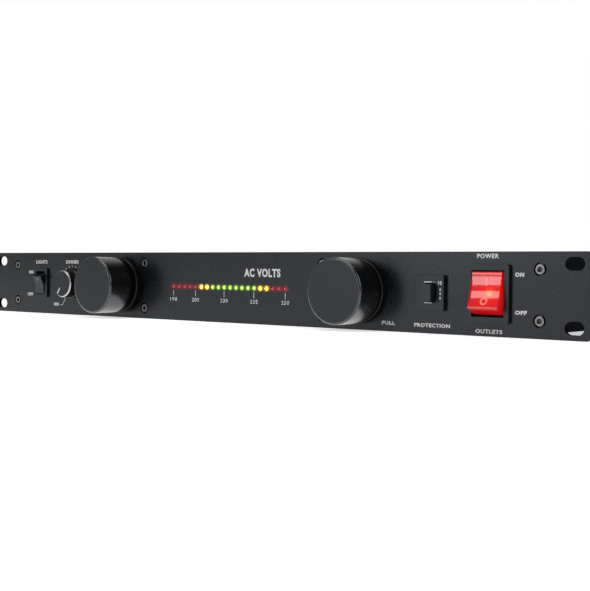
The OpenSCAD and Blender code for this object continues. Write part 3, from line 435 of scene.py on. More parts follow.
def turned(outline, centre, closed=False, steps=128, faceOf=None):
    # Spins an outline of (radius, y) points about an axis along Y; a point on the axis becomes one pole
    verts, rings = [], []
    for radius, y in outline:
        if radius < 1e-6:
            rings.append([len(verts)] * steps)
            verts.append(Vector((centre[0], y, centre[1])) * mm)
        else:
            rings.append(list(range(len(verts), len(verts) + steps)))
            for k in range(steps):
                angle = 2 * math.pi * k / steps
                x, z = centre[0] + radius * math.cos(angle), centre[1] + radius * math.sin(angle)
                verts.append(Vector((x, y, z)) * mm)
    bm = bmesh.new()
    made = [bm.verts.new(v) for v in verts]
    spans = range(len(rings)) if closed else range(len(rings) - 1)
    for i in spans:
        j = (i + 1) % len(rings)
        for k in range(steps):
            n = (k + 1) % steps
            corners = []
            for index in (rings[i][k], rings[i][n], rings[j][n], rings[j][k]):
                if index not in corners:
                    corners.append(index)
            if len(corners) > 2:
                face = bm.faces.new([made[c] for c in corners])
                face.material_index = faceOf(outline[i], outline[j]) if faceOf else 0
    bmesh.ops.recalc_face_normals(bm, faces=bm.faces)
    mesh = bpy.data.meshes.new("turned")
    bm.to_mesh(mesh)
    bm.free()
    return mesh


def makeTree(name, inputs):
    # A Geometry Nodes tree with its named inputs, and the nodes that every tree here begins and ends with
    tree = bpy.data.node_groups.new(name, "GeometryNodeTree")
    tree.interface.new_socket(name="Geometry", in_out="OUTPUT", socket_type="NodeSocketGeometry")
    tree.interface.new_socket(name="Geometry", in_out="INPUT", socket_type="NodeSocketGeometry")
    for label, kind in inputs.items():
        tree.interface.new_socket(name=label, in_out="INPUT", socket_type="NodeSocket" + kind)
    tree.interface.new_socket(name="Finish", in_out="INPUT", socket_type="NodeSocketMaterial")
    return tree, addNode(tree, "NodeGroupInput").outputs


def closeTree(tree, given, geometry):
    real = addNode(tree, "GeometryNodeRealizeInstances", None, {0: geometry})
    painted = addNode(tree, "GeometryNodeSetMaterial", None,
                      {0: real.outputs[0], "Material": given["Finish"]})
    addNode(tree, "NodeGroupOutput", None, {0: painted.outputs[0]})
    return tree


def grow(tree, mesh, values):
    # Runs a tree on a mesh and gives back the result as a plain mesh
    carrier = bpy.data.objects.new("carrier", mesh)
    bpy.context.scene.collection.objects.link(carrier)
    step = carrier.modifiers.new("grow", "NODES")
    step.node_group = tree
    for item in tree.interface.items_tree:
        if item.in_out == "INPUT" and item.name in values:
            step[item.identifier] = values[item.name]
    shown = carrier.evaluated_get(bpy.context.evaluated_depsgraph_get())
    result = bpy.data.meshes.new_from_object(shown)
    carrier.modifiers.remove(step)
    bpy.data.objects.remove(carrier)
    return result


def pointMesh(places):
    mesh = bpy.data.meshes.new("places")
    mesh.from_pydata([Vector(p) * mm for p in places], [], [])
    return mesh


def repeatTree():
    # One piece at every point, turned to face one way and about its own Y by a random amount up to Twist
    tree, given = makeTree("repeatAtPoints",
                           {"Piece": "Object", "Twist": "Float", "Seed": "Int", "Facing": "Vector"})
    piece = addNode(tree, "GeometryNodeObjectInfo", None, {"Object": given["Piece"]})
    twist = addNode(tree, "FunctionNodeRandomValue", {"data_type": "FLOAT"},
                    {3: given["Twist"], "Seed": given["Seed"]})
    spin = addNode(tree, "ShaderNodeCombineXYZ", None, {1: twist.outputs[1]})
    placed = addNode(tree, "GeometryNodeInstanceOnPoints", None,
                     {"Points": given["Geometry"], "Instance": piece.outputs["Geometry"],
                      "Rotation": given["Facing"]})
    spun = addNode(tree, "GeometryNodeRotateInstances", {"Local Space": True},
                   {"Instances": placed.outputs[0], "Rotation": spin.outputs[0]})
    return closeTree(tree, given, spun.outputs[0])


def fluteTree():
    # Grooves along a turned body: a point moves towards the axis where the wave round the body is high
    tree, given = makeTree("flutes", {"Centre": "Vector", "Count": "Float", "Depth": "Float",
                                      "From": "Float", "To": "Float"})
    here = addNode(tree, "GeometryNodeInputPosition").outputs[0]
    arm = addNode(tree, "ShaderNodeVectorMath", {"operation": "SUBTRACT"}, {0: here, 1: given["Centre"]})
    parts = addNode(tree, "ShaderNodeSeparateXYZ", None, {0: arm.outputs[0]})
    angle = addNode(tree, "ShaderNodeMath", {"operation": "ARCTAN2"},
                    {0: parts.outputs[2], 1: parts.outputs[0]})
    phase = addNode(tree, "ShaderNodeMath", {"operation": "MULTIPLY"},
                    {0: angle.outputs[0], 1: given["Count"]})
    wave = addNode(tree, "ShaderNodeMath", {"operation": "COSINE"}, {0: phase.outputs[0]})
    groove = addNode(tree, "ShaderNodeMath", {"operation": "MAXIMUM", 1: 0.0}, {0: wave.outputs[0]})
    deep = addNode(tree, "ShaderNodeMath", {"operation": "MULTIPLY"},
                   {0: groove.outputs[0], 1: given["Depth"]})
    after = addNode(tree, "ShaderNodeMath", {"operation": "GREATER_THAN"},
                    {0: parts.outputs[1], 1: given["From"]})
    before = addNode(tree, "ShaderNodeMath", {"operation": "LESS_THAN"},
                     {0: parts.outputs[1], 1: given["To"]})
    inside = addNode(tree, "ShaderNodeMath", {"operation": "MULTIPLY"},
                     {0: after.outputs[0], 1: before.outputs[0]})
    amount = addNode(tree, "ShaderNodeMath", {"operation": "MULTIPLY"},
                     {0: deep.outputs[0], 1: inside.outputs[0]})
    radial = addNode(tree, "ShaderNodeCombineXYZ", None, {0: parts.outputs[0], 2: parts.outputs[2]})
    outward = addNode(tree, "ShaderNodeVectorMath", {"operation": "NORMALIZE"}, {0: radial.outputs[0]})
    back = addNode(tree, "ShaderNodeMath", {"operation": "MULTIPLY", 1: -1.0}, {0: amount.outputs[0]})
    shift = addNode(tree, "ShaderNodeVectorMath", {"operation": "SCALE"},
                    {0: outward.outputs[0], "Scale": back.outputs[0]})
    moved = addNode(tree, "GeometryNodeSetPosition", None,
                    {0: given["Geometry"], "Offset": shift.outputs[0]})
    return closeTree(tree, given, moved.outputs[0])


def dialTree():
    # Printed dots on an arc: Count of them on a radius, from one angle on by a step
    tree, given = makeTree("dialDots", {"Centre": "Vector", "Count": "Int", "Radius": "Float",
                                        "Start": "Float", "Step": "Float", "Dot radius": "Float",
                                        "Ink thickness": "Float"})
    line = addNode(tree, "GeometryNodeMeshLine", None, {"Count": given["Count"]})
    number = addNode(tree, "GeometryNodeInputIndex").outputs[0]
    angle = addNode(tree, "ShaderNodeMath", {"operation": "MULTIPLY_ADD"},
                    {0: number, 1: given["Step"], 2: given["Start"]})
    sine = addNode(tree, "ShaderNodeMath", {"operation": "SINE"}, {0: angle.outputs[0]})
    cosine = addNode(tree, "ShaderNodeMath", {"operation": "COSINE"}, {0: angle.outputs[0]})
    aside = addNode(tree, "ShaderNodeCombineXYZ", None, {0: sine.outputs[0], 2: cosine.outputs[0]})
    reach = addNode(tree, "ShaderNodeVectorMath", {"operation": "SCALE"},
                    {0: aside.outputs[0], "Scale": given["Radius"]})
    place = addNode(tree, "ShaderNodeVectorMath", {"operation": "ADD"},
                    {0: reach.outputs[0], 1: given["Centre"]})
    spots = addNode(tree, "GeometryNodeSetPosition", None,
                    {0: line.outputs[0], "Position": place.outputs[0]})
    dot = addNode(tree, "GeometryNodeMeshCylinder", {"Vertices": 16}, {"Radius": given["Dot radius"],
                                                                       "Depth": given["Ink thickness"]})
    printed = addNode(tree, "GeometryNodeInstanceOnPoints", {"Rotation": (math.pi / 2, 0, 0)},
                      {"Points": spots.outputs[0], "Instance": dot.outputs[0]})
    return closeTree(tree, given, printed.outputs[0])


repeatAtPoints, flutes, dialDots = repeatTree(), fluteTree(), dialTree()
print("stage: trees")


def repeated(name, shape, places, body, material, stands=(), twist=0.0, seed=1, facing=(0, 0, 0)):
    seedPiece = bpy.data.objects.new("seedPiece", shape)
    bpy.context.scene.collection.objects.link(seedPiece)
    mesh = grow(repeatAtPoints, pointMesh(places), {"Piece": seedPiece, "Twist": twist, "Seed": seed,
                                                    "Facing": facing, "Finish": finishes[material]})
    bpy.data.objects.remove(seedPiece)
    return addPiece(name, mesh, body, [material], stands)


def socketHead(screw, steps=48, lead=0.12, point=0.35):
    # A cap screw about the origin, its top towards -Y, with a six-sided socket that ends in a drill point
    top, rise = screw["ringInner"], screw["rise"]
    outline = fillet([(top, -rise), (screw["head"], -rise), (screw["head"], screw["under"])],
                     [0, screw["edge"], 0], False, 4)
    outline += [(screw["shank"], screw["under"]), (screw["shank"], screw["end"]), (0, screw["end"])]
    mesh = turned(outline, (0, 0), steps=steps)
    bm = bmesh.new()
    bm.from_mesh(mesh)
    hexTop, hexDeep = [], []
    for k in range(6):
        angle = math.pi / 3 * k
        x, z = screw["hex"] * math.cos(angle), screw["hex"] * math.sin(angle)
        hexTop.append(bm.verts.new(Vector((x, lead - rise, z)) * mm))
        hexDeep.append(bm.verts.new(Vector((x, screw["hexDepth"] - rise, z)) * mm))
    floor = bm.verts.new(Vector((0, screw["hexDepth"] + point - rise, 0)) * mm)
    for k in range(6):
        n = (k + 1) % 6
        bm.faces.new((hexTop[k], hexTop[n], hexDeep[n], hexDeep[k]))
        bm.faces.new((hexDeep[k], hexDeep[n], floor))
    rim = [v for v in bm.verts if abs(v.co.y + rise * mm) < 1e-7 and v.co.xz.length < top * mm + 1e-6]
    rim.sort(key=lambda v: math.atan2(v.co.z, v.co.x) % (2 * math.pi))
    per = len(rim) // 6
    for k in range(6):   # the countersunk ring between the round rim and the six-sided socket
        corner, after = hexTop[k], hexTop[(k + 1) % 6]
        arc = [rim[(k * per + i) % len(rim)] for i in range(per + 1)]
        middle = per // 2
        for i in range(per):
            bm.faces.new((arc[i], arc[i + 1], corner if i < middle else after))
        bm.faces.new((corner, arc[middle], after))
    bmesh.ops.recalc_face_normals(bm, faces=bm.faces)
    result = bpy.data.meshes.new("socketHead")
    bm.to_mesh(result)
    bm.free()
    return result


panel = {"rounding": 0.3, "holesWithin": (239.0, 20.5)}
panelScrews = {"x": (213.8, 75.4), "z": (13.0, 14.9), "head": 2.6, "rise": 0.2, "hex": 1.44,
               "hexDepth": 1.2, "ringInner": 1.55, "edge": 0.25, "under": 1.6, "shank": 1.5, "end": 8.5,
               "twist": 1.05, "seed": 7}


def inPanelHole(centre, normal):
    # The walls of the holes and slots, but not the panel's own edges
    within = panel["holesWithin"]
    return abs(normal.y) < 0.5 and abs(centre.x) < within[0] and abs(centre.z) < within[1]


softened("front_panel", panel["rounding"], ["panelCoat", "thinCoat"], choose=inPanelHole)
places = [(sx * x, panelFront, sz * z) for x, z in zip(panelScrews["x"], panelScrews["z"])
          for sx in (-1, 1) for sz in (-1, 1)]
repeated("panelScrews", socketHead(panelScrews), places, "chassis", "zincSteel",
         ("panel_screws",), panelScrews["twist"], panelScrews["seed"])
print("stage: panel and its screws")


case = {"width": 438.0, "rounding": 0.2, "coverRounding": 0.35}
caseScrews = {"head": 2.8, "rise": 1.3, "hex": 1.44, "hexDepth": 0.9, "ringInner": 1.7, "edge": 0.5,
              "under": 0.0, "shank": 1.5, "end": 6.0, "twist": 1.05, "coverY": (50.0, 112.5, 175.0),
              "coverSeed": 3, "inletX": (168.0, 208.0), "inletY": 202.2, "inletSeed": 5}


def onCaseSide(centre, normal):
    return abs(normal.x) > 0.7


softened("chassis_tray", case["rounding"], ["caseCoat", "thinCoat"], choose=onCaseSide)
softened("rear_panel", case["rounding"], ["caseCoat"])
softened("top_cover", case["coverRounding"], ["caseCoat", "thinCoat"], choose=onCaseSide)
lowest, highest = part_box("cover_screws")
coverScrewZ = (lowest.z + highest.z) / 2 / mm
caseHead = socketHead(caseScrews)
for side, sign in (("Left", -1), ("Right", 1)):
    # Both sides' screws are one solid, which the left ones replace
    places = [(sign * case["width"] / 2, y, coverScrewZ) for y in caseScrews["coverY"]]
    repeated("coverScrews" + side, caseHead, places, "chassis", "blackScrew",
             ("cover_screws",) if sign < 0 else (), caseScrews["twist"], caseScrews["coverSeed"],
             (0, 0, sign * math.pi / 2))
places = [(x, caseScrews["inletY"], 0) for x in caseScrews["inletX"]]
repeated("inletScrews", caseHead, places, "chassis", "blackScrew", ("inlet_screws",),
         caseScrews["twist"], caseScrews["inletSeed"], (0, 0, math.pi))
print("stage: case")


lamp = {"x": 100.3, "out": {"left": 5.1, "right": 2.6}, "steps": 160, "tubeRounding": 0.2,
        "stripRounding": 0.12, "phosphorBelow": 1.9}
knob = {"radius": 18.7, "front": -21.7, "rear": -3.8, "edge": 1.2, "hollowRadius": 16.5, "hubRadius": 15.5,
        "hollow": 13.0, "bore": 14.02, "boreDepth": 12.0, "rounding": (0.4, 0.3, 0.3, 0.2, 0.2, 0.2, 0.1),
        "endMargin": 0.05, "endDepth": 0.2}
trim = {"radius": 18.5, "front": -3.8, "bore": 14.05, "lead": 0.3, "edge": 0.25, "barrelRadius": 15.5,
        "barrelEnd": 3.0, "rounding": (0.1, 0.1, 0.3, 0.3, 0, 0, 0.3, 0.3)}


def knobShape(x, out):
    front, rear = knob["front"] - out, knob["rear"] - out
    deep, bottom = rear - knob["hollow"], rear - knob["boreDepth"]
    outline = fillet([(0, front), (knob["radius"], front), (knob["radius"], rear),
                      (knob["hollowRadius"], rear), (knob["hollowRadius"], deep), (knob["hubRadius"], deep),
                      (knob["hubRadius"], rear), (knob["bore"], rear), (knob["bore"], bottom), (0, bottom)],
                     [0, knob["edge"], *knob["rounding"], 0], False, 8)
    endRadius, endY = knob["radius"] - knob["edge"] + knob["endMargin"], front + knob["endDepth"]

    def partOf(a, b):
        return 0 if max(a[0], b[0]) < endRadius and min(a[1], b[1]) < endY else 1

    return turned(outline, (x, 0), steps=lamp["steps"], faceOf=partOf)


def trimShape(x):
    radius, front, bore, edge = trim["radius"], trim["front"], trim["bore"], trim["edge"]
    outline = fillet([(bore, front + trim["lead"]), (bore + trim["lead"], front), (radius - edge, front),
                      (radius, front + edge), (radius, panelFront), (trim["barrelRadius"], panelFront),
                      (trim["barrelRadius"], trim["barrelEnd"]), (bore, trim["barrelEnd"])],
                     trim["rounding"], True, 3)
    return turned(outline, (x, 0), closed=True, steps=lamp["steps"])


def onPhosphor(centre, normal):
    return centre.z < lamp["phosphorBelow"] and normal.z < -0.7


for side, x in (("left", -lamp["x"]), ("right", lamp["x"])):
    addPiece(side + "LampKnob", knobShape(x, lamp["out"][side]), side + "_lamp",
             ["knobEnd", "knobSide"], (side + "_lamp_knob",))
    addPiece(side + "TrimRing", trimShape(x), "chassis", ["ringPlastic"],
             (side + "_trim_ring",))
    softened(side + "_lamp_tube", lamp["tubeRounding"], ["tubeBlack"])
    softened(side + "_lamp_strip", lamp["stripRounding"], ["solderMask", "phosphor"], 1, choose=onPhosphor)
print("stage: lamps")


dimmer = {"x": -150.5, "front": -12.1, "back": -3.0, "faceRadius": 8.75, "faceInset": 0.12,
          "insetWall": 0.15, "ringRadius": 9.5, "skirtRadius": 10.5, "edge": 0.75, "skirt": 1.2,
          "slope": 1.6, "steps": 480, "flutes": 30, "fluteDepth": 0.34, "fluteFrom": 0.95, "fluteTo": 7.3,
          "fluteCuts": 6, "fluteEnd": 0.05, "bore": 3.02, "boreFrom": 1.5, "nutHole": 6.4,
          "nutHoleFrom": 2.6, "capMargin": 0.475, "pointerTurn": 145, "pointerFrom": 0.39,
          "pointerTo": 0.885, "pointerWidth": 1.1, "pointerSunk": 0.005}
d = dimmer
faceY, sideFrom, boreFloor = d["front"] + d["faceInset"], d["front"] + d["edge"], d["front"] + d["boreFrom"]
slopeFrom, nutFloor = d["back"] - d["slope"], d["back"] - d["nutHoleFrom"]
outline = [(0, faceY), (d["faceRadius"] - d["insetWall"], faceY), (d["faceRadius"], d["front"]),
           (d["ringRadius"], sideFrom)]
fluteLength = slopeFrom - sideFrom - 2 * d["fluteEnd"]
outline += [(d["ringRadius"], sideFrom + d["fluteEnd"] + k * fluteLength / d["fluteCuts"])
            for k in range(d["fluteCuts"] + 1)]
outline += fillet([(d["ringRadius"], slopeFrom), (d["skirtRadius"], d["back"] - d["skirt"]),
                   (d["skirtRadius"], d["back"]), (d["nutHole"], d["back"]), (d["nutHole"], nutFloor),
                   (d["bore"], nutFloor), (d["bore"], boreFloor), (0, boreFloor)],
                  [0, 0.25, 0.25, 0.2, 0, 0, 0, 0], False, 3)
dimmerShape = turned(outline, (d["x"], 0), steps=d["steps"])
dimmerShape = grow(flutes, dimmerShape, {
    "Centre": (d["x"] * mm, d["front"] * mm, 0), "Count": float(d["flutes"]), "Depth": d["fluteDepth"] * mm,
    "From": d["fluteFrom"] * mm, "To": d["fluteTo"] * mm, "Finish": finishes["dimmerBody"]})
for face in dimmerShape.polygons:
    centre = face.center / mm - Vector((d["x"], 0, 0))
    reach = math.hypot(centre.x, centre.z)
    onCap = centre.y < d["front"] + d["capMargin"] and reach < d["faceRadius"]
    onCut = d["faceRadius"] < reach < d["ringRadius"] and centre.y < sideFrom
    face.material_index = 1 if onCut else (0 if onCap else 2)
addPiece("dimmerKnob", dimmerShape, "dimmer", ["dimmerCap", "cutAluminium", "dimmerBody"],
         ("dimmer_knob",), smooth=30)
print("stage: dimmer")


softened("lights_switch_frame", 0.3, ["nylon"])
softened("lights_rocker", 0.3, ["rockerNylon"], 3)
softened("breaker_frame", 0.3, ["nylon"])
softened("breaker_button", 0.35, ["buttonNylon"], 3)
softened("power_switch_frame", 0.4, ["nylon"], 3)


def flatShare(shape):
    # How much of a rocker's half face is flat, up to where its rounded lip begins
    return 1 - shape["lipSoft"] * shape["half"] / math.hypot(shape["half"], shape["lip"] - shape["valley"])


def facetSag(shape, share):
    # How far a facet sinks below its flat line, for a share of the way from the crease to the lip
    along = share / flatShare(shape)
    return shape["sag"] * 4 * along * (1 - along) if 0 < along < 1 else 0


def sinkFacets(bm):
    # The two large front facets sink a little between the crease and each lip, and mirror the lamps in bands
    outer = []
    for face in bm.faces:
        centre = unswing @ (face.calc_center_median() / mm)
        outside = centre.y < -rocker["valley"] and abs(centre.z) > rocker["facetFrom"]
        if outside and face.calc_area() > rocker["facetArea"] * mm * mm:
            outer.append(face)
    long = []
    for edge in [e for face in outer for e in face.edges]:
        heights = [(unswing @ (vert.co / mm)).z for vert in edge.verts]
        if edge not in long and abs(heights[0] - heights[1]) > rocker["facetEdge"]:
            long.append(edge)
    bmesh.ops.subdivide_edges(bm, edges=long, cuts=rocker["cuts"], use_grid_fill=True)
    for vert in bm.verts:
        place = unswing @ (vert.co / mm)
        share = abs(place.z) / rocker["half"]
        onFacet = abs(place.y + rocker["valley"] + (rocker["lip"] - rocker["valley"]) * share) < 0.02
        if onFacet:
            place.y += facetSag(rocker, share)
            vert.co = (swing @ place) * mm


softened("power_rocker", 0.35, ["redLens"], 3, shape=sinkFacets)
print("stage: switches")


def slab(outline, z0, z1, place=Matrix.Identity(4)):
    # A flat outline of (x, y) points made solid from z0 to z1, in mm, then put in its place
    bm = bmesh.new()
    low = [bm.verts.new(place @ Vector((x, y, z0)) * mm) for x, y in outline]
    high = [bm.verts.new(place @ Vector((x, y, z1)) * mm) for x, y in outline]
    bm.faces.new(low)
    bm.faces.new(high)
    for i in range(len(outline)):
        k = (i + 1) % len(outline)
        bm.faces.new((low[i], low[k], high[k], high[i]))
    bmesh.ops.recalc_face_normals(bm, faces=bm.faces)
    mesh = bpy.data.meshes.new("slab")
    bm.to_mesh(mesh)
    bm.free()
    return mesh


def joined(meshes):
    bm = bmesh.new()
    for mesh in meshes:
        bm.from_mesh(mesh)
    result = bpy.data.meshes.new("joined")
    bm.to_mesh(result)
    bm.free()
    return result


tip = panelFront - leds["proud"]
outline = []
for a in range(0, 91, 9):
    angle = math.radians(a)
    outline.append((leds["radius"] * math.sin(angle), tip + leds["radius"] * (1 - math.cos(angle))))
outline += [(leds["radius"], leds["flangeFrom"]), (leds["flange"], leds["flangeFrom"]),
            (leds["flange"], leds["flangeTo"]), (0, leds["flangeTo"])]
ledShape = turned(outline, (0, 0), steps=32)
half, wide, slope = leds["pin"] / 2, leds["pin"] / 2 + leds["shoulder"], leds["shoulderSlope"]
pinOutline = [(-half, leds["flangeTo"]), (half, leds["flangeTo"]), (half, leds["shoulderFrom"]),
              (wide, leds["shoulderFrom"] + slope), (wide, leds["shoulderTo"]),
              (half, leds["shoulderTo"] + slope), (half, leds["pinEnd"]), (-half, leds["pinEnd"])]
pinShapes = joined([slab([(x + side * leds["pinPitch"] / 2, y) for x, y in pinOutline], -half, half)
                    for side in (-1, 1)])
ledPlaces = []
for colour in ("red", "yellow", "green"):
    places = [(ledX(number), 0, 0) for number, shade in enumerate(leds["colours"]) if shade == colour]
    repeated(colour + "Leds", ledShape.copy(), places, "chassis",
             "led" + colour.capitalize(), (colour + "_leds",))
    ledPlaces += places
repeated("ledPins", pinShapes, ledPlaces, "chassis", "nickel")
print("stage: LEDs")


outlets = {"first": 138.0, "pitch": 46.0, "count": 8, "slots": ((-7, -2), (7, -2), (0, 2)),
           "leafFrom": 188.5, "leafTo": 199.5, "leafHeight": 3.6, "leaf": 0.3, "leafSteps": 8,
           "slotHalf": 1.15, "pinch": 0.45}
o = outlets
places = [(o["first"] - i * o["pitch"], 0, 0) for i in range(o["count"])]
shape = roundedCopy("outlet_1", 0.3)
shape.transform(Matrix.Translation((-o["first"] * mm, 0, 0)))
repeated("outlets", shape, places, "chassis", "nylon",
         tuple(f"outlet_{i + 1}" for i in range(o["count"])))
leafOutline = []
for side in (1, -1):   # a sprung leaf: close to the slot's wall at both ends and bowed in between
    edge = []
    for k in range(o["leafSteps"] + 1):
        share = k / o["leafSteps"]
        bow = o["slotHalf"] - o["pinch"] * math.sin(math.pi * share) - (o["leaf"] if side < 0 else 0)
        edge.append((bow, o["leafFrom"] + share * (o["leafTo"] - o["leafFrom"])))
    leafOutline += edge if side > 0 else edge[::-1]
leaves = []
for x, z in o["slots"]:
    for side in (-1, 1):
        leaf = [(x + side * u, v) for u, v in leafOutline]
        leaves.append(slab(leaf, z - o["leafHeight"] / 2, z + o["leafHeight"] / 2))
repeated("outletContacts", joined(leaves), places, "chassis", "nickel")
softened("mains_inlet", 0.35, ["nylon"])
softened("inlet_pins", 0.4, ["nickel"], 3)
print("stage: rear sockets")


inkDepth = 0.03
words = {"extrude": 0.05, "spacing": 1.14, "bold": 0.045, "shortBold": 0.065, "shortUnder": 7.0}
upright = Matrix.Rotation(math.radians(90), 4, "X")   # turns an outline's second coordinate to Z


def lettering(text, centre, size, front=True, plane=panelFront, bold=words["bold"]):
    # Words as flat ink: drawn as a curve, made a mesh, fitted to the measured (width, height), then placed
    curve = bpy.data.curves.new("words", "FONT")
    curve.body, curve.size, curve.offset = text, 1.0, bold
    curve.extrude, curve.resolution_u = words["extrude"], 3
    curve.space_character = words["spacing"]
    carrier = bpy.data.objects.new("words", curve)
    bpy.context.scene.collection.objects.link(carrier)
    mesh = bpy.data.meshes.new_from_object(carrier.evaluated_get(bpy.context.evaluated_depsgraph_get()))
    bpy.data.objects.remove(carrier)
    xs, ys = [v.co.x for v in mesh.vertices], [v.co.y for v in mesh.vertices]
    fit = Matrix.Diagonal((size[0] / (max(xs) - min(xs)), size[1] / (max(ys) - min(ys)),
                           inkDepth / (2 * words["extrude"]), 1))
    mesh.transform(fit @ Matrix.Translation((-(min(xs) + max(xs)) / 2, -(min(ys) + max(ys)) / 2, 0)))
    turn = Matrix(((1, 0, 0, 0), (0, 0, -1, 0), (0, 1, 0, 0), (0, 0, 0, 1)))
    if not front:
        turn = Matrix(((-1, 0, 0, 0), (0, 0, 1, 0), (0, 1, 0, 0), (0, 0, 0, 1)))
    mesh.transform(Matrix.Scale(mm, 4) @ Matrix.Translation((centre[0], plane, centre[1])) @ turn)
    return mesh


def stroke(points, width, place=Matrix.Translation((0, panelFront, 0))):
    # A printed line of one width through (x, z) points, its corners mitred
    sides = ([], [])
    for i, point in enumerate(points):
        here = Vector(point)
        before = (here - Vector(points[i - 1])).normalized() if i else None
        after = (Vector(points[i + 1]) - here).normalized() if i < len(points) - 1 else None
        before, after = before or after, after or before
        normal = ((before + after) / 2).orthogonal().normalized()
        reach = width / 2 / max(0.3, normal.dot(before.orthogonal()))
        sides[0].append(here + normal * reach)
        sides[1].append(here - normal * reach)
    outline = [tuple(p) for p in sides[0]] + [tuple(p) for p in reversed(sides[1])]
    return slab(outline, -inkDepth / 2, inkDepth / 2, place @ upright)


# Each of the panel's words with its centre (x, z) and its size (width, height)
legends = [("LIGHTS", (-185.3, 15.3), (13.0, 2.5)), ("ON", (-197.8, 7.8), (5.2, 2.2)),
           ("OFF", (-198.8, -8.4), (6.7, 2.3)), ("DIMMER", (-150.4, 15.4), (14.2, 2.5)),
           ("MIN", (-168.4, -15.1), (5.4, 2.3)), ("PULL", (122.3, -17.3), (8.8, 2.2)),
           ("PULL", (-122.3, -17.3), (8.8, 2.2)), ("PROTECTION", (150.6, -17.6), (22.6, 2.1)),
           ("POWER", (184.2, 19.7), (12.8, 2.4)), ("OUTLETS", (185.2, -19.4), (15.8, 2.2)),
           ("ON", (202.5, 10.2), (5.1, 2.2)), ("OFF", (203.5, -9.1), (6.8, 2.1)),
           ("AC VOLTS", (29.0, 9.4), (29.3, 5.2))]
printed = []
for text, centre, size in legends:
    bold = words["shortBold"] if size[0] < words["shortUnder"] else words["bold"]
    printed.append(lettering(text, centre, size, bold=bold))
scale = {"numbers": ((0, 190), (4, 205), (9, 220), (14, 235), (19, 250)), "numberZ": -8.3,
         "size": (6.2, 2.4), "bold": 0.01, "tickFrom": -2.5, "tickTo": -6.2, "tickWidth": 0.4}
for led, number in scale["numbers"]:
    x = ledX(led)
    printed.append(lettering(str(number), (x, scale["numberZ"]), scale["size"], bold=scale["bold"]))
    printed.append(stroke([(x, scale["tickFrom"]), (x, scale["tickTo"])], scale["tickWidth"]))
dial = {"dots": 18, "radius": 12.4, "start": -150.0 + 300 / 18, "step": 300 / 18, "dot": 0.47,
        "minLine": [(-164.3, -15.4), (-161.1, -15.4), (-158.3, -10.1)], "minWidth": 0.45}
printed.append(stroke(dial["minLine"], dial["minWidth"]))
addPiece("panelLegends", joined(printed), "chassis", ["ink"])
dots = grow(dialDots, pointMesh([(0, 0, 0)]), {
    "Centre": (d["x"] * mm, panelFront * mm, 0), "Count": dial["dots"], "Radius": dial["radius"] * mm,
    "Start": math.radians(dial["start"]), "Step": math.radians(dial["step"]),
    "Dot radius": dial["dot"] * mm, "Ink thickness": inkDepth * mm, "Finish": finishes["ink"]})
addPiece("dialDots", dots, "chassis", ["ink"])
turn = math.radians(-d["pointerTurn"])
aim = Vector((math.sin(turn), math.cos(turn)))
ends = [tuple(Vector((d["x"], 0)) + aim * d["ringRadius"] * d[end]) for end in ("pointerFrom", "pointerTo")]
pointer = stroke(ends, d["pointerWidth"], Matrix.Translation((0, faceY - d["pointerSunk"], 0)))
addPiece("dimmerPointer", pointer, "dimmer", ["ink"])
print("stage: legends")


def onFacets(mesh, shape, sunk=0.02):
    # Lays a flat mark, drawn in the rocker's own X and Z, on the two sinking facets of its face
    place = rockerSwing(shape)
    for vert in mesh.vertices:
        flat = vert.co / mm
        share = abs(flat.z) / shape["half"]
        face = -shape["valley"] - (shape["lip"] - shape["valley"]) * share + facetSag(shape, share)
        lift = sunk if flat.y > -inkDepth / 2 else -inkDepth
        vert.co = (place @ Vector((flat.x, face + lift, flat.z))) * mm
    return mesh


def barMark(centre, size):
    corners = ((-0.5, -0.5), (0.5, -0.5), (0.5, 0.5), (-0.5, 0.5))
    outline = [(centre[0] + u * size[0], centre[1] + v * size[1]) for u, v in corners]
    return slab(outline, 0, inkDepth, upright)


marks = {"bar": (0.2, 4.7), "barSize": (1.0, 3.9), "ring": (0.0, -5.7), "outer": 2.15, "inner": 1.2}
ring = turned([(marks["inner"], 0), (marks["outer"], 0), (marks["outer"], -inkDepth),
               (marks["inner"], -inkDepth)], marks["ring"], closed=True, steps=48)
powerMarks = joined([barMark(marks["bar"], marks["barSize"]), ring])
addPiece("powerMarks", onFacets(powerMarks, rocker), "power_rocker", ["litInk"])
lightsRocker = {"pivot": (-185.0, panelFront + 2.3, 0.2), "tilt": 15, "valley": 5.0, "lip": 6.16,
                "half": 6.6, "lipSoft": 0.1, "sag": 0.0, "bar": (0, 3.6), "barSize": (0.9, 2.8)}
lightsMark = barMark(lightsRocker["bar"], lightsRocker["barSize"])
addPiece("lightsMark", onFacets(lightsMark, lightsRocker), "lights_rocker", ["dimInk"])

# The breaker's lines, each with its two ends and its width, and its rating in ampere
breaker = {"front": panelFront - 2.4, "aside": -0.25, "number": (156.85, 5.3), "numberSize": (2.3, 2.0),
           "bold": 0.03, "lines": (((147.2, 5.75), (152.2, 5.75), 0.6), ((153.0, 5.75), (154.1, 5.75), 0.4),
                                   ((147.4, -5.4), (152.2, -5.4), 0.45)),
           "dashX": 157.3, "dashTops": (2.4, 0.2, -2.2), "dash": 1.2, "dashWidth": 0.7}
breakerPlace = Matrix.Translation((breaker["aside"], breaker["front"], 0))
breakerMarks = [stroke([start, end], width, breakerPlace) for start, end, width in breaker["lines"]]
breakerMarks.append(lettering("10", breaker["number"], breaker["numberSize"], plane=breaker["front"],
                              bold=breaker["bold"]))
for z in breaker["dashTops"]:
    breakerMarks.append(stroke([(breaker["dashX"], z), (breaker["dashX"], z - breaker["dash"])],
                               breaker["dashWidth"], breakerPlace))
addPiece("breakerMarks", joined(breakerMarks), "chassis", ["ink"])
rear = {"plane": 200.0, "z": 15.9, "size": (13.5, 2.0), "mains": (188.0, 14.8), "mainsSize": (21.0, 2.3)}
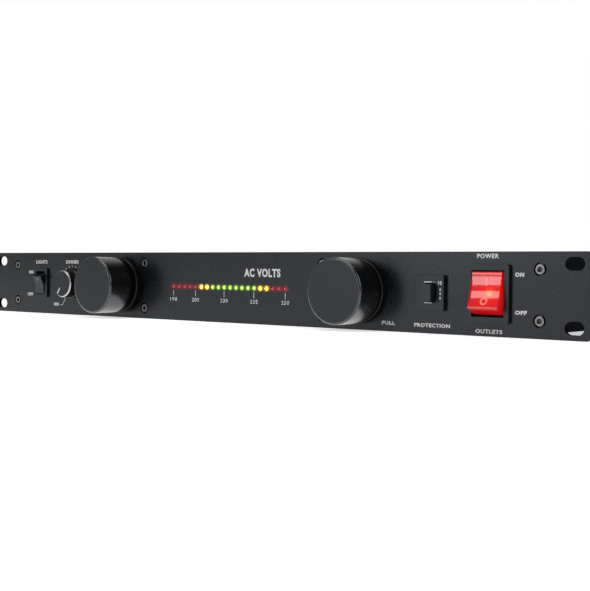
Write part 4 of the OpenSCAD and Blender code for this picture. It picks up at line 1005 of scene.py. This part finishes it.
rearWords = [lettering(f"OUTLET {i + 1}", (o["first"] - i * o["pitch"], rear["z"]), rear["size"], False,
                       rear["plane"]) for i in range(o["count"])]
rearWords.append(lettering("MAINS INPUT", rear["mains"], rear["mainsSize"], False, rear["plane"]))
addPiece("rearLegends", joined(rearWords), "chassis", ["ink"])
print("stage: marks")


nodeFinish = {"dimmer_shaft": "steelShaft", "dimmer_pot": "potBody", "dimmer_nut": "nickel",
              "meter_board": "board", "meter_chips": "chipBody", "power_neon_lamp": "neon",
              "wire_terminals": "brass", "outlet_rails": "brass", "live_leads": "brownLead",
              "neutral_leads": "blueLead", "earth_leads": "earthLead", "supply_board": "board",
              "board_spacers": "brass", "transformer_core": "core", "transformer_coil": "coilTape"}
lampFinish = {"guide_sleeve": "acetal", "lamp_bracket": "zincSheet", "slide_collar": "acetal",
              "lamp_lens": "frosted", "lamp_plug": "nylon"}
nodeFinish |= {f"{side}_{name}": finish for side in ("left", "right") for name, finish in lampFinish.items()}
for name, finish in nodeFinish.items():
    cadNodes[name].material_slots[0].material = finishes[finish]
print("stage: finishes of the solids that stay,", len(nodeFinish))


def whiteBackdrop(tree, seen, unseen):
    # White for what the camera sees and mirrors, plain grey for the light that surfaces scatter
    path = addNode(tree, "ShaderNodeLightPath").outputs
    glossy = addNode(tree, "ShaderNodeMath", {"operation": "MAXIMUM"},
                     {0: path["Is Camera Ray"], 1: path["Is Glossy Ray"]})
    clear = addNode(tree, "ShaderNodeMath", {"operation": "MAXIMUM"},
                    {0: glossy.outputs[0], 1: path["Is Transmission Ray"]})
    return addNode(tree, "ShaderNodeMixShader", None, {0: clear.outputs[0], 1: unseen, 2: seen}).outputs[0]


studio = {"floorZ": -22.05, "floorHalf": 3.0, "floorDark": "#d6d6d5", "floorLight": "#d9d9d8",
          "floorLift": 0.6, "floorMirrored": 0.15, "surround": 0.9,
          # What gloss mirrors of the room, by direction in degrees from the front towards the left
          "room": ((-180, "#606060"), (-172, "#303030"), (-138, "#303030"), (-122, "#909090"),
                   (-112, "#a0a0a0"), (-58, "#a0a0a0"), (-46, "#686868"), (-10, "#686868"), (18, "#e2e2e2"),
                   (28, "#e2e2e2"), (47, "#bcbcbc"), (55, "#8c8c8c"), (90, "#8c8c8c"), (117, "#959595"),
                   (124, "#ffffff"), (156, "#ffffff"), (166, "#a8a8a8"), (180, "#606060")),
          # The walls darken between two heights and the ceiling whitens between two, as sines of elevation
          "wallFrom": 0.12, "wallTo": 0.4, "wallShade": 0.4, "ceilingFrom": 0.86, "ceilingTo": 0.97}
world = bpy.data.worlds.new("studio")
bpy.context.scene.world = world
world.use_nodes = True
world.node_tree.nodes.clear()
tree = world.node_tree
aim = addNode(tree, "ShaderNodeVectorMath", {"operation": "SCALE", "Scale": -1.0},
              {0: addNode(tree, "ShaderNodeTexCoord").outputs["Generated"]})
parts = addNode(tree, "ShaderNodeSeparateXYZ", None, {0: aim.outputs[0]})
bearing = addNode(tree, "ShaderNodeMath", {"operation": "ARCTAN2"},
                  {0: parts.outputs[0], 1: parts.outputs[1]})
share = addNode(tree, "ShaderNodeMath", {"operation": "MULTIPLY_ADD", 1: 0.5 / math.pi, 2: 0.5},
                {0: bearing.outputs[0]})
walls = rampTo(tree, [(angle / 360 + 0.5, shade) for angle, shade in studio["room"]], share.outputs[0])
fall = addNode(tree, "ShaderNodeMapRange", {"From Min": -studio["wallFrom"], "From Max": -studio["wallTo"],
                                            "To Min": 1.0, "To Max": studio["wallShade"]},
               {"Value": parts.outputs[2]})
dimmed = addNode(tree, "ShaderNodeMix", {"data_type": "RGBA", "blend_type": "MULTIPLY", 0: 1.0},
                 {6: walls, 7: fall.outputs[0]})
lofty = addNode(tree, "ShaderNodeMapRange",
                {"From Min": -studio["ceilingFrom"], "From Max": -studio["ceilingTo"]},
                {"Value": parts.outputs[2]})
room = addNode(tree, "ShaderNodeMix", {"data_type": "RGBA", 7: (1, 1, 1, 1)},
               {0: lofty.outputs[0], 6: dimmed.outputs[2]})
white = addNode(tree, "ShaderNodeBackground", {"Color": (1, 1, 1, 1), "Strength": 1.0}).outputs[0]
mirrored = addNode(tree, "ShaderNodeBackground", {"Strength": 1.0}, {"Color": room.outputs[2]}).outputs[0]
grey = addNode(tree, "ShaderNodeBackground", {"Strength": studio["surround"]},
               {"Color": room.outputs[2]}).outputs[0]
byCamera = addNode(tree, "ShaderNodeLightPath").outputs["Is Camera Ray"]
seen = addNode(tree, "ShaderNodeMixShader", None, {0: byCamera, 1: mirrored, 2: white}).outputs[0]
addNode(tree, "ShaderNodeOutputWorld", None, {"Surface": whiteBackdrop(tree, seen, grey)})

paper, tree, where = startMaterial("paperFloor")
mottle = addNode(tree, "ShaderNodeTexNoise", {"Scale": 3.0, "Detail": 2.0}, {"Vector": where})
tone = rampTo(tree, [(0.3, studio["floorDark"]), (0.7, studio["floorLight"])], mottle.outputs[0])
matt = addNode(tree, "ShaderNodeBsdfDiffuse", None, {"Color": tone}).outputs[0]
byGloss = addNode(tree, "ShaderNodeLightPath").outputs["Is Glossy Ray"]
power = addNode(tree, "ShaderNodeMath",
                {"operation": "MULTIPLY_ADD", 1: studio["floorMirrored"], 2: studio["floorLift"]},
                {0: byGloss})
lift = addNode(tree, "ShaderNodeEmission", {"Color": (1, 1, 1, 1)},
               {"Strength": power.outputs[0]}).outputs[0]
both = addNode(tree, "ShaderNodeAddShader", None, {0: matt, 1: lift}).outputs[0]
addNode(tree, "ShaderNodeOutputMaterial", None, {"Surface": whiteBackdrop(tree, both, matt)})
floorMesh = bpy.data.meshes.new("floor")
corners = [(x * studio["floorHalf"], y * studio["floorHalf"], studio["floorZ"] * mm)
           for x, y in ((-1, -1), (1, -1), (1, 1), (-1, 1))]
floorMesh.from_pydata(corners, [], [(0, 1, 2, 3)])
floorMesh.materials.append(paper)
floor = bpy.data.objects.new("floor", floorMesh)
bpy.context.scene.collection.objects.link(floor)


def softbox(name, place, aim, size, radiance):
    # A lamp of even brightness, in metres; its power follows from its size, so a mirror shows its radiance
    light = bpy.data.lights.new(name, "AREA")
    light.shape, light.size, light.size_y = "RECTANGLE", size[0], size[1]
    light.energy = radiance * math.pi * size[0] * size[1]
    carrier = bpy.data.objects.new(name, light)
    carrier.location = place
    carrier.rotation_euler = (Vector(aim) - Vector(place)).to_track_quat("-Z", "Y").to_euler()
    carrier.visible_camera = False
    bpy.context.scene.collection.objects.link(carrier)


softbox("overheadBox", (0.0, -0.35, 1.5), (0, 0, 0), (1.3, 1.0), 2.0)
softbox("lowBox", (-0.41, -0.99, 0.212), (0.185, -0.01, 0.0), (0.34, 0.229), 4.2)
softbox("highBox", (-0.5, -0.802, 0.587), (0.185, -0.01, 0.0), (0.34, 0.2), 4.2)
softbox("sideBox", (1.15, -0.19, 0.66), (0.05, 0.0, 0.0), (1.2, 0.75), 1.7)

# The photograph's view, from a fit to the panel's edges and slots: angles in degrees, place in mm
shot = {"lens": 66.75, "yaw": 39.57, "pitch": -1.53, "roll": 0.45, "place": (468.3, -502.5, 13.6)}
yaw, pitch, roll = (math.radians(shot[k]) for k in ("yaw", "pitch", "roll"))
ahead = Vector((-math.sin(yaw) * math.cos(pitch), math.cos(yaw) * math.cos(pitch), math.sin(pitch)))
level = Vector((math.cos(yaw), math.sin(yaw), 0))
above = level.cross(ahead)
right = math.cos(roll) * level + math.sin(roll) * above
up = -math.sin(roll) * level + math.cos(roll) * above
view = bpy.data.cameras.new("view")
view.lens, view.sensor_width, view.sensor_fit = shot["lens"], 36.0, "AUTO"
view.clip_start, view.clip_end = 0.02, 20.0
camera = bpy.data.objects.new("view", view)
camera.matrix_world = Matrix.Translation(Vector(shot["place"]) * mm) @ Matrix((
    (right.x, up.x, -ahead.x, 0), (right.y, up.y, -ahead.y, 0), (right.z, up.z, -ahead.z, 0), (0, 0, 0, 1)))
bpy.context.scene.collection.objects.link(camera)
bpy.context.scene.camera = camera
bpy.context.scene.view_settings.view_transform = "Standard"
print("stage: studio")
